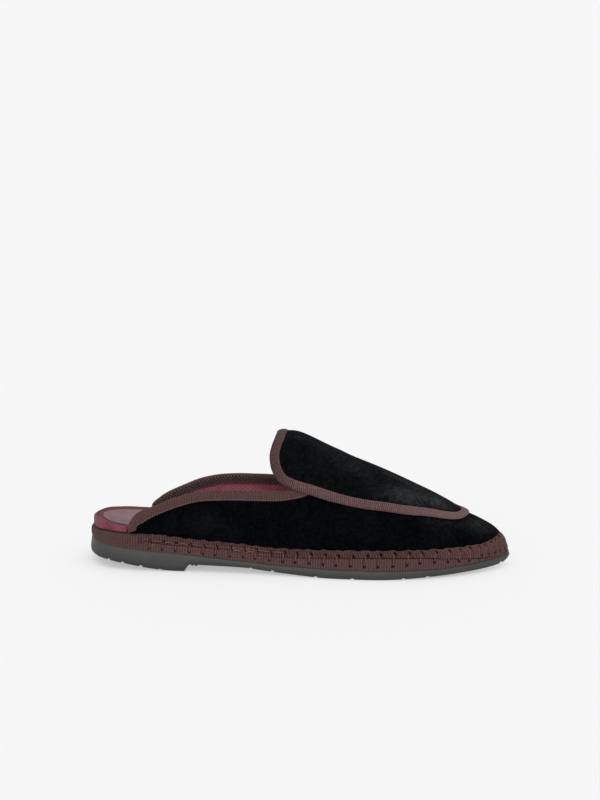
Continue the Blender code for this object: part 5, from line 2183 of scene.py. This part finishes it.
@dataclass
class Studio:
    """Pale floor, soft light and the camera.

    Attributes:
        target: Point the camera's place is measured from, in metres.
        elevation: Camera's height angle, in degrees.
        yaw: How far it stands towards the toe, in degrees.
        distance: Its distance from the target, in metres.
        focal: Focal length in pixels of the 600 by 800 image.
        mark: Pixel of the image at which the target falls.
        image: Width and height of the image in pixels.
        sky: Strength of the even light all round.
        lamps: The lamps.
        floor_level: Tone of the bare lit floor.
        floor_tones: Its lamplit share close to the shoe and further off, the rest being the floor's own glow,
            which is painted light.
        floor_glow_zone: Ends of the shoe's middle line, and distances from it over which the tones and the
            painted glow change.
        floor_half: Half the floor's width, in metres.
        floor_drop: How far the floor lies below the sole, in metres.
    """

    target: Triple = (0.0, 0.0005, 0.035)
    elevation: float = 14.5
    yaw: float = 4.0
    distance: float = 1.6
    focal: float = 2536.0
    mark: Pair = (299.3, 506.7)
    image: Pair = (600.0, 800.0)
    sky: float = 0.62
    lamps: tuple[Lamp, ...] = (
        Lamp("lamp_above", (0.3, -0.5, 2.2), 70.0, 0.9),
        Lamp("lamp_front", (-0.5, -2.2, 0.9), 60.0, 0.9),
    )
    floor_level: float = 0.915
    floor_tones: Pair = (0.5, 0.2)
    floor_glow_zone: Four = (-0.095, 0.08, 0.03, 0.054)
    floor_half: float = 20.0
    floor_drop: float = 0.0002

    def add_camera(self) -> None:
        """Set the camera at the photograph's angle."""
        rise, turn = np.radians((self.elevation, self.yaw))
        back = Vector((np.sin(turn) * np.cos(rise), -np.cos(turn) * np.cos(rise), np.sin(rise)))
        right = Vector((np.cos(turn), np.sin(turn), 0.0))
        up = right.cross(-back)
        tilt = np.arctan((self.mark[1] - self.image[1] / 2.0) / self.focal)
        swing = np.arctan((self.mark[0] - self.image[0] / 2.0) / self.focal)
        ahead = -back * np.cos(tilt) + up * np.sin(tilt)
        ahead = (ahead * np.cos(swing) - right * np.sin(swing)).normalized()
        across = ahead.cross(Vector((0.0, 0.0, 1.0))).normalized()
        over = across.cross(ahead)
        data = bpy.data.cameras.new("camera")
        data.sensor_width = 36.0
        data.lens = self.focal / self.image[1] * data.sensor_width
        data.clip_end = 100.0
        camera = bpy.data.objects.new("camera", data)
        bpy.context.scene.collection.objects.link(camera)
        turned = Matrix((across, over, -ahead)).transposed().to_4x4()
        camera.matrix_world = Matrix.Translation(Vector(self.target) + back * self.distance) @ turned
        bpy.context.scene.camera = camera

    def add_floor(self) -> None:
        """Lay the pale floor, whose own glow is painted light that lifts the shoe's shadow, most away from
        the shoe.
        """
        mesh = bpy.data.meshes.new("floor")
        far = self.floor_half
        corners = [(x, y, 0.0) for x, y in ((-far, -far), (far, -far), (far, far), (-far, far))]
        mesh.from_pydata(corners, [], [(0, 1, 2, 3)])
        p = Palette("floor_paint")
        place = p.add("ShaderNodeSeparateXYZ", {0: p.place()}).outputs
        back, front, near, far_off = self.floor_glow_zone
        beyond = p.math("MAXIMUM", p.math("SUBTRACT", back, place[0]), p.math("SUBTRACT", place[0], front))
        beyond = p.math("MAXIMUM", beyond, 0.0)
        away = p.math("SQRT", p.math("MULTIPLY_ADD", beyond, beyond, p.math("MULTIPLY", place[1], place[1])))
        # Painted light: the floor glows more and reflects less away from the shoe, so the shoe's shadow fades
        # there while the bare floor keeps one tone.
        first, last = self.floor_tones
        share = p.between(away, near, far_off)
        glow = p.math("MULTIPLY_ADD", share, first - last, self.floor_level - first)
        colour = p.mix(share, (first, first, first), (last, last, last))
        mesh.materials.append(p.wear(Base_Color=colour, Roughness=0.9, Specular_IOR_Level=0.1,
                                     Emission_Color=(1.0, 1.0, 1.0), Emission_Strength=glow))
        floor = bpy.data.objects.new("floor", mesh)
        floor.location.z = -self.floor_drop
        bpy.context.scene.collection.objects.link(floor)

    def build(self) -> None:
        """Set up camera, floor and light."""
        self.add_camera()
        self.add_floor()
        for lamp in self.lamps:
            lamp.hang()
        world = bpy.data.worlds.new("studio")
        world.use_nodes = True
        sky = world.node_tree.nodes["Background"]
        sky.inputs["Color"].default_value = (1.0, 1.0, 1.0, 1.0)
        sky.inputs["Strength"].default_value = self.sky
        bpy.context.scene.world = world
        bpy.context.scene.view_settings.view_transform = "Standard"


@dataclass(frozen=True)
class Finishes:
    """Every finish of the shoe, by the piece that wears it."""

    # Vamp and apron wear one velvet; the apron's tones are painted lighter, as the light its top catches.
    vamp: Velvet = Velvet("vamp_velvet", (0.0002, 0.0003, 0.0005), (0.0037, 0.0041, 0.0052),
                          (0.026, 0.027, 0.03), (0.62, 0.66, 0.7), 0.008)
    apron: Velvet = Velvet("apron_pile_lit", (0.0004, 0.0005, 0.0007), (0.0064, 0.007, 0.0083),
                           (0.039, 0.042, 0.045), (0.66, 0.72, 0.74), 0.023)
    edge: Grosgrain = Grosgrain("edge_ribbon", (0.0405, 0.019, 0.0194), (0.17, 0.0935, 0.097), 1.2)
    collar: Grosgrain = Grosgrain("collar_ribbon", (0.046, 0.0215, 0.0205), (0.103, 0.0535, 0.051), 1.5)
    inside: Grosgrain = Grosgrain("collar_inside", (0.0123, 0.0062, 0.0064), (0.156, 0.094, 0.094), 2.1,
                                  0.85, contrast=1.15)
    strip: Grosgrain = Grosgrain("strip_ribbon", (0.021, 0.0072, 0.0068), (0.106, 0.049, 0.047), 1.65)
    wrap: Grosgrain = Grosgrain("wrap_ribbon", (0.048, 0.0215, 0.02), (0.12, 0.0622, 0.0586), 1.65)
    lining: Twill = Twill("lining_twill", (0.29, 0.05, 0.085), (0.7, 0.225, 0.29), 3.8, 2.2)
    insole: Twill = Twill("insole_twill", (0.09, 0.013, 0.024), (0.34, 0.08, 0.115), 1.3, 0.7)
    pad: PadCloth = PadCloth("pad_cloth", (0.148, 0.08, 0.086), (0.285, 0.16, 0.17), (0.05, 0.01, 0.016))
    rubber: Rubber = Rubber("sole_rubber", (0.035, 0.0345, 0.0335), (0.063, 0.062, 0.0605))
    stitch: Thread = Thread("stitch_thread", (0.075, 0.023, 0.02), (0.25, 0.1, 0.08))
    sewing: Thread = Thread("sewing_thread", (0.12, 0.08, 0.075), (0.29, 0.21, 0.2))


def build_shoe() -> None:
    """Build every piece of the shoe from the ground up."""
    finishes = Finishes()
    Outsole().build(finishes.rubber.make())
    rand = Rand()
    upper_holes, out = rand.build_strip(finishes.strip.make())
    lower_holes = rand.build_band(finishes.wrap.make(), upper_holes)
    rand.build_threads(finishes.stitch.make(), upper_holes, lower_holes, out)
    footbed = Footbed()
    footbed.build_insole(finishes.insole.make())
    footbed.build_pad(finishes.pad.make())
    upper = Upper()
    lining = finishes.lining.make()
    upper.build(finishes.vamp.make(), lining)
    collar = CollarRibbon(upper)
    thread = finishes.sewing.make()
    worn = finishes.collar.make(), finishes.inside.make(), thread
    for side in Side:
        collar.build(side, *worn)
    Apron().build(finishes.apron.make(), lining, finishes.edge.make(), thread)


def main() -> None:
    """Build shoe and studio."""
    logging.basicConfig(level=logging.INFO, format="%(name)s: %(message)s")
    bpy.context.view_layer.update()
    build_shoe()
    Studio().build()
    bpy.context.view_layer.update()


if __name__ == "__main__":
    main()
